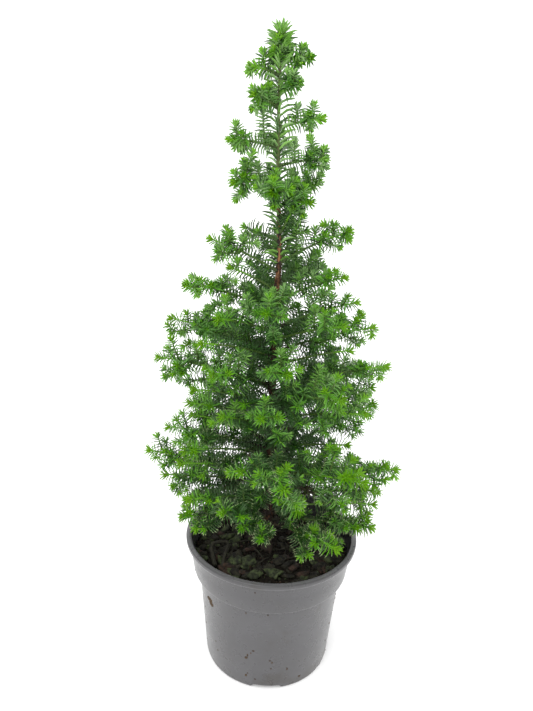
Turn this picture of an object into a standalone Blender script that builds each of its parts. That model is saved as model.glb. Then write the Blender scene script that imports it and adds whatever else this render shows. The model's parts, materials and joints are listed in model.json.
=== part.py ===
# A young atlantic white cedar with soft juvenile needles, in a 15 cm nursery pot.
# Metres, +Z up. The origin is the centre of the pot's flat underside, and the ground
# of the tree is the level of its compost. Azimuth 0 is +X, 90 is +Y, the far side.

import math
import random

import bmesh
import bpy
import numpy as np
from mathutils import Matrix, Vector
from mathutils.kdtree import KDTree

MM = 0.001
UP = Vector((0, 0, 1))
GAP = 0.3 * MM

# Pot: a thin moulded wall with a lip, a collar, and a tapering body on a flat floor
POT_HEIGHT = 117 * MM
RIM_RADIUS = 75 * MM
LIP_HEIGHT = 4.5 * MM
COLLAR_TOP_RADIUS = 71.5 * MM
COLLAR_FOOT_RADIUS = 67.9 * MM
COLLAR_FOOT = 86 * MM
SHOULDER_FOOT = 82 * MM
BODY_TOP_RADIUS = 62.8 * MM
BASE_RADIUS = 55.8 * MM
WALL = 1.4 * MM
FLOOR = 5 * MM
POT_STEPS = 48
NOTCH_WIDTH = 25 * MM
NOTCH_HEIGHT = 3.5 * MM
NOTCH_DEPTH = 5 * MM
NOTCHES = 4
DRAIN_RADIUS = 4.5 * MM
DRAIN_CIRCLE = 38 * MM

# Compost: it fills the pot to this level
GROUND = 99 * MM

# Trunk: bends are its sideways offset by height, and it tapers evenly above the flare
TREE_TOP = 521 * MM
TRUNK_TIP = 500 * MM
TRUNK_BENDS = (
    (99, -3.0),
    (240, -4.5),
    (320, -5.0),
    (357, -3.2),
    (400, -6.0),
    (440, -8.0),
    (475, -8.7),
    (521, -12.0),
)
TRUNK_FOOT_RADIUS = 3.6 * MM
TRUNK_TIP_RADIUS = 1.0 * MM
FLARE = 1.1 * MM
FLARE_HEIGHT = 5 * MM
TRUNK_STEP = 12 * MM

# Side shoots that the front view shows: the height where each leaves the trunk, its
# azimuth, its reach from the trunk and the height of its tip, in millimetres and degrees
SHOOTS = (
    (494, 0, 24, 497),
    (484, 180, 25, 490),
    (474, -42, 22, 477),
    (463, 222, 30, 468),
    (449, -5, 37, 459),
    (436, 182, 41, 441),
    (423, -8, 40, 430),
    (410, 203, 42, 409),
    (402, 264, 45, 403),
    (394, -48, 38, 398),
    (352, 160, 27, 388),
    (352, 5, 58, 379),
    (345, 187, 57, 370),
    (322, -18, 58, 346),
    (315, 195, 74, 337),
    (306, 263, 64, 324),
    (280, 2, 84, 304),
    (279, 183, 87, 307),
    (262, -80, 62, 280),
    (252, 231, 74, 277),
    (250, 199, 97, 282),
    (246, -9, 95, 277),
    (238, -53, 85, 265),
    (228, 263, 72, 250),
    (212, 233, 66, 244),
    (208, 15, 98, 229),
    (195, 190, 90, 219),
    (176, -83, 86, 202),
    (172, -44, 100, 203),
    (166, 181, 108, 191),
    (164, -3, 112, 184),
    (146, 4, 96, 155),
    (142, 168, 91, 157),
    (141, 236, 70, 167),
    (132, 203, 82, 146),
    (127, -13, 94, 135),
    (124, -48, 84, 141),
    (119, -98, 50, 139),
)

# Side shoots of the far side, dealt out by rule under the same outline
BACK_SHOOTS = 11
BACK_TOP = 470 * MM
BACK_FOOT = 130 * MM
BACK_SPREAD = 52
BACK_RISE = 0.2
CROWN_SLOPE = 0.345
CROWN_TOP_RADIUS = 8 * MM
CROWN_MOST_RADIUS = 100 * MM

# Boughs: the longest shoots are bare wood over this share of their length
BOUGH_REACH = 97 * MM
BOUGH_SHARE = 0.26
BOUGH_RADIUS = 1.7 * MM
ARCH = 0.07
SWEEP = 0.05

# Foliage: stems and twigs are three-sided, and needles stand out of their sides
STEM_RADIUS = 1.15 * MM
TWIG_RADIUS = 0.85 * MM
TIP_RADIUS = 0.5 * MM
RING_STEP = 7.6 * MM
NEEDLE = 10.5 * MM
NEEDLE_LEAN = 38
TWIG_STEP = 10.8 * MM
CLOSEST_TWIGS = 6.5 * MM
TWIG_LONGEST = 38 * MM
TWIG_SHORTEST = 7.5 * MM
TWIG_SHARE = 0.62
TWIG_ANGLE = 52
TWIG_LIFT = 0.16
TOP_LIFT = 0.45
GOLDEN_ANGLE = 137.5
SPACE_MARGIN = 1.6 * MM
TRUNK_CLEARANCE = 1.2 * MM
LEADER_STEP = 2.9 * MM
SEED = 20


def clear_scene():
    for old in list(bpy.data.objects):
        bpy.data.objects.remove(old, do_unlink=True)
    bpy.context.scene.unit_settings.system = "METRIC"


def new_collection(name):
    collection = bpy.data.collections.new(name)
    bpy.context.scene.collection.children.link(collection)
    return collection


def material(name, colour, roughness, metallic=0.0):
    made = bpy.data.materials.new(name)
    made.use_nodes = True
    shader = made.node_tree.nodes["Principled BSDF"]
    shader.inputs["Base Color"].default_value = (*colour, 1)
    shader.inputs["Roughness"].default_value = roughness
    shader.inputs["Metallic"].default_value = metallic
    made.diffuse_color = (*colour, 1)
    return made


def add_object(name, mesh, collection, look=None):
    made = bpy.data.objects.new(name, mesh)
    collection.objects.link(made)
    if look:
        mesh.materials.append(look)
    return made


def mesh_of(name, bm):
    bmesh.ops.recalc_face_normals(bm, faces=bm.faces[:])
    mesh = bpy.data.meshes.new(name)
    bm.to_mesh(mesh)
    bm.free()
    return mesh


def applied(made):
    """The object's mesh with its modifiers in it, set back on the object."""
    bpy.context.view_layer.update()
    graph = bpy.context.evaluated_depsgraph_get()
    mesh = bpy.data.meshes.new_from_object(made.evaluated_get(graph))
    old = made.data
    made.modifiers.clear()
    made.data = mesh
    bpy.data.meshes.remove(old)
    mesh.name = made.name


# Turned pieces

def turned(name, outline, collection, look):
    """Spins an outline of (radius, height) points, top to bottom on its outer side."""
    bm = bmesh.new()
    points = [bm.verts.new((radius, 0, height)) for radius, height in outline]
    for a, b in zip(points, points[1:]):
        bm.edges.new((a, b))
    mesh = bpy.data.meshes.new(name)
    bm.to_mesh(mesh)
    bm.free()
    made = add_object(name, mesh, collection, look)
    screw = made.modifiers.new("turn", "SCREW")
    screw.axis = "Z"
    screw.steps = POT_STEPS
    screw.render_steps = POT_STEPS
    screw.use_merge_vertices = True
    screw.merge_threshold = 0.00005
    return made


def wall_inside(height):
    """The radius of the pot's inner wall at a height."""
    inner = (
        (FLOOR, BASE_RADIUS - WALL),
        (SHOULDER_FOOT, BODY_TOP_RADIUS - WALL),
        (COLLAR_FOOT + WALL, COLLAR_FOOT_RADIUS - WALL),
        (POT_HEIGHT, COLLAR_TOP_RADIUS - WALL + 0.4 * MM),
    )
    return float(np.interp(height, *zip(*inner)))


def make_pot(collection, cutters, look):
    lip_foot = POT_HEIGHT - LIP_HEIGHT
    edge = 0.7 * MM
    outline = [
        (0, FLOOR),
        (wall_inside(FLOOR), FLOOR),
        (wall_inside(SHOULDER_FOOT), SHOULDER_FOOT),
        (wall_inside(COLLAR_FOOT + WALL), COLLAR_FOOT + WALL),
        (wall_inside(POT_HEIGHT - edge), POT_HEIGHT - edge),
        (wall_inside(POT_HEIGHT) + edge, POT_HEIGHT),
        (RIM_RADIUS - edge, POT_HEIGHT),
        (RIM_RADIUS, POT_HEIGHT - edge),
        (RIM_RADIUS - 0.3 * MM, lip_foot),
        (COLLAR_TOP_RADIUS, lip_foot),
        (COLLAR_FOOT_RADIUS, COLLAR_FOOT),
        (BODY_TOP_RADIUS, SHOULDER_FOOT),
        (BASE_RADIUS, 1.2 * MM),
        (BASE_RADIUS - 1.2 * MM, 0),
        (0, 0),
    ]
    pot = turned("pot", outline, collection, look)
    for number in range(NOTCHES):
        angle = math.radians(-90 + 360 / NOTCHES * number)
        out = Vector((math.cos(angle), math.sin(angle), 0))
        cut_notch(pot, cutters, out, angle, number)
        cut_drain(pot, cutters, Matrix.Rotation(math.radians(45), 3, "Z") @ out, number)
    applied(pot)
    pot.data.shade_smooth()
    pot.data.set_sharp_from_angle(angle=math.radians(30))
    return pot


def cut(pot, cutter):
    cutter.hide_render = True
    cutter.display_type = "WIRE"
    boolean = pot.modifiers.new("cut " + cutter.name, "BOOLEAN")
    boolean.operation = "DIFFERENCE"
    boolean.object = cutter


def cut_notch(pot, cutters, out, angle, number):
    """An arched gap in the foot of the wall, where water runs out."""
    bm = bmesh.new()
    bmesh.ops.create_cube(bm, size=1)
    cutter = add_object(f"notch_{number + 1}", mesh_of("notch", bm), cutters)
    cutter.scale = (2 * NOTCH_DEPTH, NOTCH_WIDTH, 2 * NOTCH_HEIGHT)
    cutter.rotation_euler.z = angle
    cutter.location = out * BASE_RADIUS
    cut(pot, cutter)


def cut_drain(pot, cutters, out, number):
    bm = bmesh.new()
    bmesh.ops.create_cone(
        bm, cap_ends=True, segments=20, radius1=DRAIN_RADIUS, radius2=DRAIN_RADIUS, depth=4 * FLOOR
    )
    cutter = add_object(f"drain_{number + 1}", mesh_of("drain", bm), cutters)
    cutter.location = out * DRAIN_CIRCLE
    cut(pot, cutter)


def make_compost(collection, look):
    def inside(height):
        return wall_inside(height) - GAP - 0.1 * MM

    outline = [
        (0, GROUND),
        (inside(GROUND) - 2 * MM, GROUND),
        (inside(GROUND), GROUND - 1.5 * MM),
        (inside(COLLAR_FOOT + WALL), COLLAR_FOOT + WALL + GAP),
        (inside(SHOULDER_FOOT), SHOULDER_FOOT + GAP),
        (inside(FLOOR), FLOOR + GAP),
        (0, FLOOR + GAP),
    ]
    compost = turned("compost", outline, collection, look)
    applied(compost)
    compost.data.shade_smooth()
    compost.data.set_sharp_from_angle(angle=math.radians(30))
    return compost


# Wood

def trunk_at(height):
    heights, offsets = zip(*TRUNK_BENDS)
    return Vector((float(np.interp(height / MM, heights, offsets)) * MM, 0, height))


def trunk_radius(height):
    above = max(0.0, height - GROUND)
    share = above / (TRUNK_TIP - GROUND)
    taper = TRUNK_FOOT_RADIUS + (TRUNK_TIP_RADIUS - TRUNK_FOOT_RADIUS) * min(share, 1.0)
    return taper + FLARE * math.exp(-above / FLARE_HEIGHT)


def limb(name, points, radii, resolution, collection, look):
    """A tapering limb: a curve with a round bevel and closed ends, made a mesh."""
    curve = bpy.data.curves.new(name, "CURVE")
    curve.dimensions = "3D"
    curve.bevel_depth = 1
    curve.bevel_resolution = resolution
    curve.use_fill_caps = True
    spline = curve.splines.new("POLY")
    spline.points.add(len(points) - 1)
    for point, co, radius in zip(spline.points, points, radii):
        point.co = (*co, 1)
        point.radius = radius
    guide = bpy.data.objects.new(name + "_guide", curve)
    collection.objects.link(guide)
    bpy.context.view_layer.update()
    graph = bpy.context.evaluated_depsgraph_get()
    mesh = bpy.data.meshes.new_from_object(guide.evaluated_get(graph))
    bpy.data.objects.remove(guide)
    bm = bmesh.new()
    bm.from_mesh(mesh)
    bmesh.ops.remove_doubles(bm, verts=bm.verts, dist=0.01 * MM)
    bpy.data.meshes.remove(mesh)
    made = add_object(name, mesh_of(name, bm), collection, look)
    made.data.shade_smooth()
    made.data.set_sharp_from_angle(angle=math.radians(50))
    return made


def make_trunk(collection, look):
    foot = GROUND + GAP
    flare = [foot, foot + 3 * MM, foot + 7 * MM]
    count = round((TRUNK_TIP - foot - 14 * MM) / TRUNK_STEP)
    heights = flare + list(np.linspace(foot + 14 * MM, TRUNK_TIP, count))
    points = [trunk_at(height) for height in heights]
    radii = [trunk_radius(height) for height in heights]
    return limb("trunk", points, radii, 2, collection, look)


# Courses of the shoots

def shoot_table():
    """Every side shoot as (height, azimuth, reach, tip height) in metres and radians."""
    rows = [
        (height * MM, math.radians(azimuth), reach * MM, tip * MM)
        for height, azimuth, reach, tip in SHOOTS
    ]
    for number, height in enumerate(np.linspace(BACK_TOP, BACK_FOOT, BACK_SHOOTS)):
        turn = math.sin(math.radians(number * GOLDEN_ANGLE + 40))
        azimuth = math.radians(90 + BACK_SPREAD * turn)
        reach = min(CROWN_TOP_RADIUS + CROWN_SLOPE * (TREE_TOP - height), CROWN_MOST_RADIUS)
        reach *= 0.86 + 0.14 * min(1.0, (height - 0.1) / 0.1)
        rows.append((float(height), azimuth, reach, float(height) + BACK_RISE * reach))
    return sorted(rows, reverse=True)


def shoot_course(row, number):
    """Points along a shoot's middle, a gentle arch from the trunk's skin to its tip."""
    height, azimuth, reach, tip_height = row
    rng = random.Random(SEED * 100 + number)
    out = Vector((math.cos(azimuth), math.sin(azimuth), 0))
    side = Vector((-out.y, out.x, 0))
    root = trunk_at(height)
    tip = Vector((root.x, root.y, tip_height)) + out * reach
    length = (tip - root).length
    middle = (root + tip) / 2 + UP * ARCH * length + side * rng.uniform(-SWEEP, SWEEP) * length
    rise = (middle - root).normalized().z
    start_radius = BOUGH_RADIUS if reach >= BOUGH_REACH else STEM_RADIUS
    skin = trunk_radius(height) + GAP + start_radius * abs(rise)
    root = root + (middle - root).normalized() * skin / max(0.3, math.sqrt(1 - rise * rise))
    count = max(5, round(length / (3 * MM)))
    course = []
    for share in np.linspace(0, 1, count):
        a = root.lerp(middle, share)
        b = middle.lerp(tip, share)
        course.append(a.lerp(b, share))
    return course


def along(course, start, end, count):
    """Evenly spaced points on a course, between two distances from its first point."""
    points = np.array(course)
    steps = np.linalg.norm(np.diff(points, axis=0), axis=1)
    marks = np.concatenate([[0], np.cumsum(steps)])
    wanted = np.linspace(start, end, count)
    return [Vector(row) for row in np.stack([np.interp(wanted, marks, c) for c in points.T], 1)]


def length_of(course):
    return sum((b - a).length for a, b in zip(course, course[1:]))


# Space that each mass keeps to

class Space:
    """Nearness to the mass's own course and to all the others, the trunk and the pot."""

    def __init__(self, courses, owner):
        self.own = self.tree([courses[owner]])
        self.others = self.tree([course for key, course in courses.items() if key != owner])

    @staticmethod
    def tree(courses):
        points = [point for course in courses for point in along(course, 0, length_of(course), 60)]
        tree = KDTree(len(points))
        for index, point in enumerate(points):
            tree.insert(point, index)
        tree.balance()
        return tree

    def holds(self, point):
        if self.own.find(point)[2] + SPACE_MARGIN > self.others.find(point)[2]:
            return False
        trunk = trunk_at(min(point.z, TREE_TOP))
        clear = trunk_radius(point.z) + TRUNK_CLEARANCE
        if point.z < TRUNK_TIP and math.hypot(point.x - trunk.x, point.y - trunk.y) < clear:
            return False
        radius = math.hypot(point.x, point.y)
        if point.z > POT_HEIGHT + SPACE_MARGIN:
            return True
        return point.z > GROUND + SPACE_MARGIN and radius < COLLAR_FOOT_RADIUS - 2 * SPACE_MARGIN


# Foliage

def ring_frames(points):
    """A matrix for each point, its Z along the twig and its X kept from twisting."""
    frames = []
    side = None
    for index, point in enumerate(points):
        before = points[max(index - 1, 0)]
        after = points[min(index + 1, len(points) - 1)]
        ahead = (after - before).normalized()
        if side is None:
            side = ahead.cross(UP) if abs(ahead.z) < 0.9 else ahead.cross(Vector((1, 0, 0)))
        side = (side - ahead * side.dot(ahead)).normalized()
        other = ahead.cross(side)
        frame = Matrix((side, other, ahead)).transposed().to_4x4()
        frame.translation = point
        frames.append(frame)
    return frames


def needle_twig(points, radii, bare, space, rng, needle=NEEDLE):
    """A three-sided core drawn along the points, with its sides drawn out into needles."""
    bm = bmesh.new()
    frames = ring_frames(points)
    bmesh.ops.create_circle(bm, cap_ends=True, segments=3, radius=radii[0], matrix=frames[0])
    bm.faces.ensure_lookup_table()
    cap = bm.faces[0]
    sides = []
    for before, frame, radius, last in zip(frames, frames[1:], radii[1:], radii):
        made = bmesh.ops.extrude_face_region(bm, geom=[cap])
        if sides:
            bmesh.ops.delete(bm, geom=[cap], context="FACES_ONLY")
        cap = next(item for item in made["geom"] if isinstance(item, bmesh.types.BMFace))
        move = frame @ Matrix.Scale(radius / last, 4) @ before.inverted()
        bmesh.ops.transform(bm, matrix=move, verts=cap.verts[:])
        ring = {face for edge in cap.edges for face in edge.link_faces if face is not cap}
        sides.append((sorted(ring, key=lambda face: face.calc_center_median()[:]), frame))
    reach = len(sides)
    for number, (ring, frame) in enumerate(sides):
        if number < bare:
            continue
        ahead = frame.to_3x3() @ UP
        near_tip = (number + 1) / reach
        lean = math.radians(NEEDLE_LEAN + 14 * near_tip + rng.uniform(-8, 8))
        for face in ring:
            centre = face.calc_center_median()
            outward = centre - frame.translation
            outward = (outward - ahead * outward.dot(ahead)).normalized()
            way = outward * math.cos(lean) + ahead * math.sin(lean)
            length = needle * rng.uniform(0.88, 1.05)
            if not all(space.holds(centre + way * length * share) for share in (0.35, 0.7, 1)):
                continue
            made = bmesh.ops.poke(bm, faces=[face], center_mode="MEAN")
            made["verts"][0].co = centre + way * length
    made = bmesh.ops.poke(bm, faces=[cap], center_mode="MEAN")
    made["verts"][0].co = points[-1] + (points[-1] - points[-2]).normalized() * needle * 0.75
    return mesh_of("twig", bm)


def tapered(start, end, count):
    return [start + (end - start) * share for share in np.linspace(0, 1, count)]


def twig_course(root, ahead, side, length):
    """A twig that leaves its stem slantwise and turns up on its way, most at the top."""
    angle = math.radians(TWIG_ANGLE)
    way = ahead * math.cos(angle) + side * math.sin(angle)
    share = (root.z - GROUND) / (TREE_TOP - GROUND)
    lift = TWIG_LIFT + (TOP_LIFT - TWIG_LIFT) * share
    tip = root + (way + UP * lift).normalized() * length
    middle = root + way * length * 0.5
    count = max(2, round(length / RING_STEP)) + 1
    course = []
    for share in np.linspace(0, 1, count):
        course.append(root.lerp(middle, share).lerp(middle.lerp(tip, share), share))
    return course


def grow_twigs(stem, start, space, rng):
    """Side twigs along the stem, each cut back until it fits the mass's own space."""
    whole = length_of(stem)
    step = max(CLOSEST_TWIGS, min(TWIG_STEP, whole / 5))
    twigs = []
    turn = rng.uniform(0, 360)
    mark = start + 0.6 * step
    while mark < whole - 0.5 * step:
        root, beyond = along(stem, mark, min(mark + 1 * MM, whole), 2)
        ahead = (beyond - root).normalized()
        level = ahead.cross(UP).normalized()
        side = Matrix.Rotation(math.radians(turn), 3, ahead) @ level
        longest = min(TWIG_LONGEST, TWIG_SHARE * (whole - mark) + TWIG_SHORTEST)
        length = longest * rng.uniform(0.8, 1.1)
        while length > TWIG_SHORTEST:
            course = twig_course(root, ahead, side, length)
            tip = course[-1] + (course[-1] - course[-2]).normalized() * NEEDLE * 0.8
            if all(space.holds(point) for point in course[1:] + [tip]):
                twigs.append(course)
                break
            length *= 0.84
        turn += GOLDEN_ANGLE
        mark += step * rng.uniform(0.9, 1.1)
    return twigs


def one_body(mesh):
    """Keeps the largest outer shell, without loose scraps and sealed hollows."""
    bm = bmesh.new()
    bm.from_mesh(mesh)
    bmesh.ops.triangulate(bm, faces=bm.faces[:])
    left = set(bm.faces)
    bodies = []
    while left:
        body = set()
        fresh = [left.pop()]
        while fresh:
            face = fresh.pop()
            body.add(face)
            for edge in face.edges:
                for other in edge.link_faces:
                    if other in left:
                        left.discard(other)
                        fresh.append(other)
        bodies.append(body)
    bodies.sort(key=len)
    for scrap in bodies[:-1]:
        bmesh.ops.delete(bm, geom=list({vert for face in scrap for vert in face.verts}), context="VERTS")
    bm.to_mesh(mesh)
    bm.free()


def make_mass(name, stem, space, rng, collection, look, step=RING_STEP, twigs=True):
    whole = length_of(stem)
    tip_bare = NEEDLE * 0.75
    count = max(3, round((whole - tip_bare) / step) + 1)
    points = along(stem, 0, whole - tip_bare, count)
    radii = tapered(STEM_RADIUS, TIP_RADIUS, count)
    mass = add_object(name, needle_twig(points, radii, 1, space, rng), collection, look)
    parts = bpy.data.collections.new(name + "_twigs")
    bpy.context.scene.collection.children.link(parts)
    if twigs:
        for number, course in enumerate(grow_twigs(points, 2 * MM, space, rng)):
            radii = tapered(TWIG_RADIUS, TIP_RADIUS, len(course))
            twig = needle_twig(course, radii, 1, space, rng)
            add_object(f"{name}_twig_{number}", twig, parts)
    if parts.objects:
        union = mass.modifiers.new("fuse", "BOOLEAN")
        union.operation = "UNION"
        union.operand_type = "COLLECTION"
        union.collection = parts
        union.solver = "MANIFOLD"
        applied(mass)
    for used in list(parts.objects):
        bpy.data.objects.remove(used)
    bpy.data.collections.remove(parts)
    one_body(mass.data)
    return mass


def make_tree(collection, bark, needles):
    make_trunk(collection, bark)
    courses = {}
    for number, row in enumerate(shoot_table(), start=1):
        courses[number] = shoot_course(row, number)
    tip = trunk_at(TRUNK_TIP)
    leader = [tip + UP * GAP, trunk_at(TREE_TOP)]
    courses["leader"] = leader
    for number, row in enumerate(shoot_table(), start=1):
        course = courses[number]
        start = 0.0
        if row[2] >= BOUGH_REACH:
            end = BOUGH_SHARE * length_of(course)
            points = along(course, 0, end, 6)
            radii = tapered(BOUGH_RADIUS, STEM_RADIUS, 6)
            limb(f"bough_{number:02d}", points, radii, 1, collection, bark)
            start = end + GAP
        whole = length_of(course)
        stem = along(course, start, whole, max(6, round((whole - start) / (3 * MM))))
        space = Space(courses, number)
        rng = random.Random(SEED * 1000 + number)
        make_mass(f"foliage_{number:02d}", stem, space, rng, collection, needles)
    space = Space(courses, "leader")
    rng = random.Random(SEED)
    make_mass("leader_foliage", leader, space, rng, collection, needles, LEADER_STEP, False)


def main():
    clear_scene()
    plant = new_collection("potted_atlantic_white_cedar")
    cutters = new_collection("cutters")
    make_pot(plant, cutters, material("pot_plastic", (0.21, 0.19, 0.20), 0.42))
    make_compost(plant, material("compost", (0.022, 0.016, 0.012), 0.95))
    bark = material("bark", (0.16, 0.07, 0.035), 0.85)
    needles = material("needles", (0.085, 0.29, 0.045), 0.5)
    make_tree(plant, bark, needles)


main()
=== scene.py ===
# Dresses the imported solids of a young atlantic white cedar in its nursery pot.
# Lengths are in millimetres and become metres where a mesh is made. Z is up,
# azimuth 0 is +X, 90 is +Y, the far side, and -90 faces the camera.

import json
import math
import random

import bmesh
import bpy
import numpy as np
from mathutils import Matrix, Vector, noise
from mathutils.kdtree import KDTree

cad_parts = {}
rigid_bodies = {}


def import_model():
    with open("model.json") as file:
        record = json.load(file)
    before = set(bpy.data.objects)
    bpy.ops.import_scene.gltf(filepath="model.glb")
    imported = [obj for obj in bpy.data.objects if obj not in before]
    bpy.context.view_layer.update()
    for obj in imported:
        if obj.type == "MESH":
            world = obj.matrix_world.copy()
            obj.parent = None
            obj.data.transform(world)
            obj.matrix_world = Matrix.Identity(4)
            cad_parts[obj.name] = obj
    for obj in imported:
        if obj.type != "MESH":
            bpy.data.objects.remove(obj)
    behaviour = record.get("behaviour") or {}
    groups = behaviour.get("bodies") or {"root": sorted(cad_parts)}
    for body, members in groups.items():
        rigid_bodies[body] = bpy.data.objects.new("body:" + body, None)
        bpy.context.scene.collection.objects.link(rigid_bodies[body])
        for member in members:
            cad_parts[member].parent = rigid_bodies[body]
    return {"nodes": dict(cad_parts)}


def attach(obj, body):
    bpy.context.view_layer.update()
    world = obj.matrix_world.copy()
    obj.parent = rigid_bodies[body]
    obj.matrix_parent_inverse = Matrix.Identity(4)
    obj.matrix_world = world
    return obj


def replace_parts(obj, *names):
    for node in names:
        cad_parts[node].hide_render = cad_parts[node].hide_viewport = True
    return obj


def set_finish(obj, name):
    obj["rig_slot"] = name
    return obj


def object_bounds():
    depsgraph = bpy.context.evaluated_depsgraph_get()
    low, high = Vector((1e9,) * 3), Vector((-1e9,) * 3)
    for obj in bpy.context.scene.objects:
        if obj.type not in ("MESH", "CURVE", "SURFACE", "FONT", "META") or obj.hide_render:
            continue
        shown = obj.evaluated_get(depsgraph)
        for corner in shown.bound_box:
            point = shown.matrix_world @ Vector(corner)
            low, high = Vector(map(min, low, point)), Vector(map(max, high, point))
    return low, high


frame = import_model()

cadLow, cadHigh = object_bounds()
nodeNames = sorted(frame["nodes"])
mm = 0.001
up = Vector((0, 0, 1))
bpy.context.scene.view_settings.view_transform = "Standard"


def addObject(name, data):
    made = bpy.data.objects.new(name, data)
    bpy.context.scene.collection.objects.link(made)
    return made


def newMaterial(name):
    made = bpy.data.materials.new(name)
    made.use_nodes = True
    return made, made.node_tree, made.node_tree.nodes["Principled BSDF"]


# A level direction, from its azimuth in radians
def outward(azimuth):
    return Vector((math.cos(azimuth), math.sin(azimuth), 0))


# Camera, floor and light

studio = {
    "cameraPlace": (-10.4, -422.9, 392.9),
    "pitch": 15.28,
    "roll": 2.23,
    "focalPixels": 540,
    "pixelsTall": 711,
    "sensorWidth": 36,
    "nearest": 10,
    "floorSide": 30000,
    "floorDrop": 0.02,
    "floorColour": (0.93, 0.93, 0.93, 1),
    "floorRoughness": 0.7,
    "floorShine": 0.2,
    "skyColour": (1, 1, 1, 1),
    "skyStrength": 1.5,
    "sunStrength": 1.25,
    "sunTurn": (42, -8, -20),
    "sunWidth": 50,
}


def setUpCamera():
    pitch, roll = math.radians(studio["pitch"]), math.radians(studio["roll"])
    ahead = Vector((0, math.cos(pitch), -math.sin(pitch)))
    right = Vector((1, 0, 0))
    above = right.cross(ahead)
    tiltedRight = math.cos(roll) * right + math.sin(roll) * above
    tiltedUp = math.cos(roll) * above - math.sin(roll) * right
    place = Matrix((tiltedRight, tiltedUp, -ahead)).transposed().to_4x4()
    place.translation = Vector(studio["cameraPlace"]) * mm
    lens = bpy.data.cameras.new("photoCamera")
    lens.sensor_width = studio["sensorWidth"]
    lens.lens = studio["focalPixels"] / studio["pixelsTall"] * studio["sensorWidth"]
    lens.clip_start = studio["nearest"] * mm
    camera = addObject("photoCamera", lens)
    camera.matrix_world = place
    bpy.context.scene.camera = camera


def layFloor():
    half = studio["floorSide"] / 2 * mm
    corners = [(-half, -half, 0), (half, -half, 0), (half, half, 0), (-half, half, 0)]
    sheet = bpy.data.meshes.new("studioFloor")
    sheet.from_pydata(corners, [], [(0, 1, 2, 3)])
    look, _, shader = newMaterial("paleFloor")
    shader.inputs["Base Color"].default_value = studio["floorColour"]
    shader.inputs["Roughness"].default_value = studio["floorRoughness"]
    shader.inputs["Specular IOR Level"].default_value = studio["floorShine"]
    sheet.materials.append(look)
    floor = addObject("studioFloor", sheet)
    floor.location.z = -studio["floorDrop"] * mm


def hangLights():
    sky = bpy.data.worlds.new("softSky")
    sky.use_nodes = True
    background = sky.node_tree.nodes["Background"].inputs
    background["Color"].default_value = studio["skyColour"]
    background["Strength"].default_value = studio["skyStrength"]
    bpy.context.scene.world = sky
    sun = bpy.data.lights.new("softSun", "SUN")
    sun.energy = studio["sunStrength"]
    sun.angle = math.radians(studio["sunWidth"])
    lamp = addObject("softSun", sun)
    lamp.rotation_euler = [math.radians(turn) for turn in studio["sunTurn"]]


setUpCamera()
layFloor()
hangLights()
print("studio ready")


# Shared shader groups

# Links a socket to an input, or sets the input to a plain value
def feed(graph, source, socket):
    if isinstance(source, bpy.types.NodeSocket):
        graph.links.new(source, socket)
    else:
        socket.default_value = source


# A node, with values or links for its inputs and settings by name. An underscore in an
# input's name stands for a space
def addNode(graph, kind, **values):
    node = graph.nodes.new("ShaderNode" + kind)
    for key, value in values.items():
        label = key.replace("_", " ")
        if label in node.inputs:
            feed(graph, value, node.inputs[label])
        else:
            setattr(node, key, value)
    return node


def calc(graph, operation, *values, clamp=False):
    node = addNode(graph, "Math", operation=operation, use_clamp=clamp)
    for value, socket in zip(values, node.inputs):
        feed(graph, value, socket)
    return node.outputs[0]


def mixColours(graph, factor, first, second, blend="MIX"):
    mix = addNode(graph, "Mix", data_type="RGBA", blend_type=blend)
    for source, number in ((factor, 0), (first, 6), (second, 7)):
        feed(graph, source, mix.inputs[number])
    return mix.outputs[2]


# The share of the way from one height to another
def heightShare(graph, low, high):
    height = addNode(graph, "SeparateXYZ", Vector=addNode(graph, "TexCoord").outputs["Object"]).outputs["Z"]
    return addNode(graph, "MapRange", Value=height, From_Min=low * mm, From_Max=high * mm).outputs[0]


def startGroup(name, inputs):
    group = bpy.data.node_groups.new(name, "ShaderNodeTree")
    for label, value in inputs.items():
        kind = {1: "Float", 3: "Vector", 4: "Color"}[np.size(value)]
        socket = group.interface.new_socket(name=label, in_out="INPUT", socket_type="NodeSocket" + kind)
        socket.default_value = value
    return group, group.nodes.new("NodeGroupInput").outputs


def endGroup(group, **results):
    end = group.nodes.new("NodeGroupOutput")
    for label, result in results.items():
        kind = "Color" if label == "Colour" else "Float"
        group.interface.new_socket(name=label, in_out="OUTPUT", socket_type="NodeSocket" + kind)
        group.links.new(result, end.inputs[label])
    return group


def placeGroup(graph, group, **values):
    node = graph.nodes.new("ShaderNodeGroup")
    node.node_tree = group
    for label, value in values.items():
        feed(graph, value, node.inputs[label])
    return node.outputs


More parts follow.
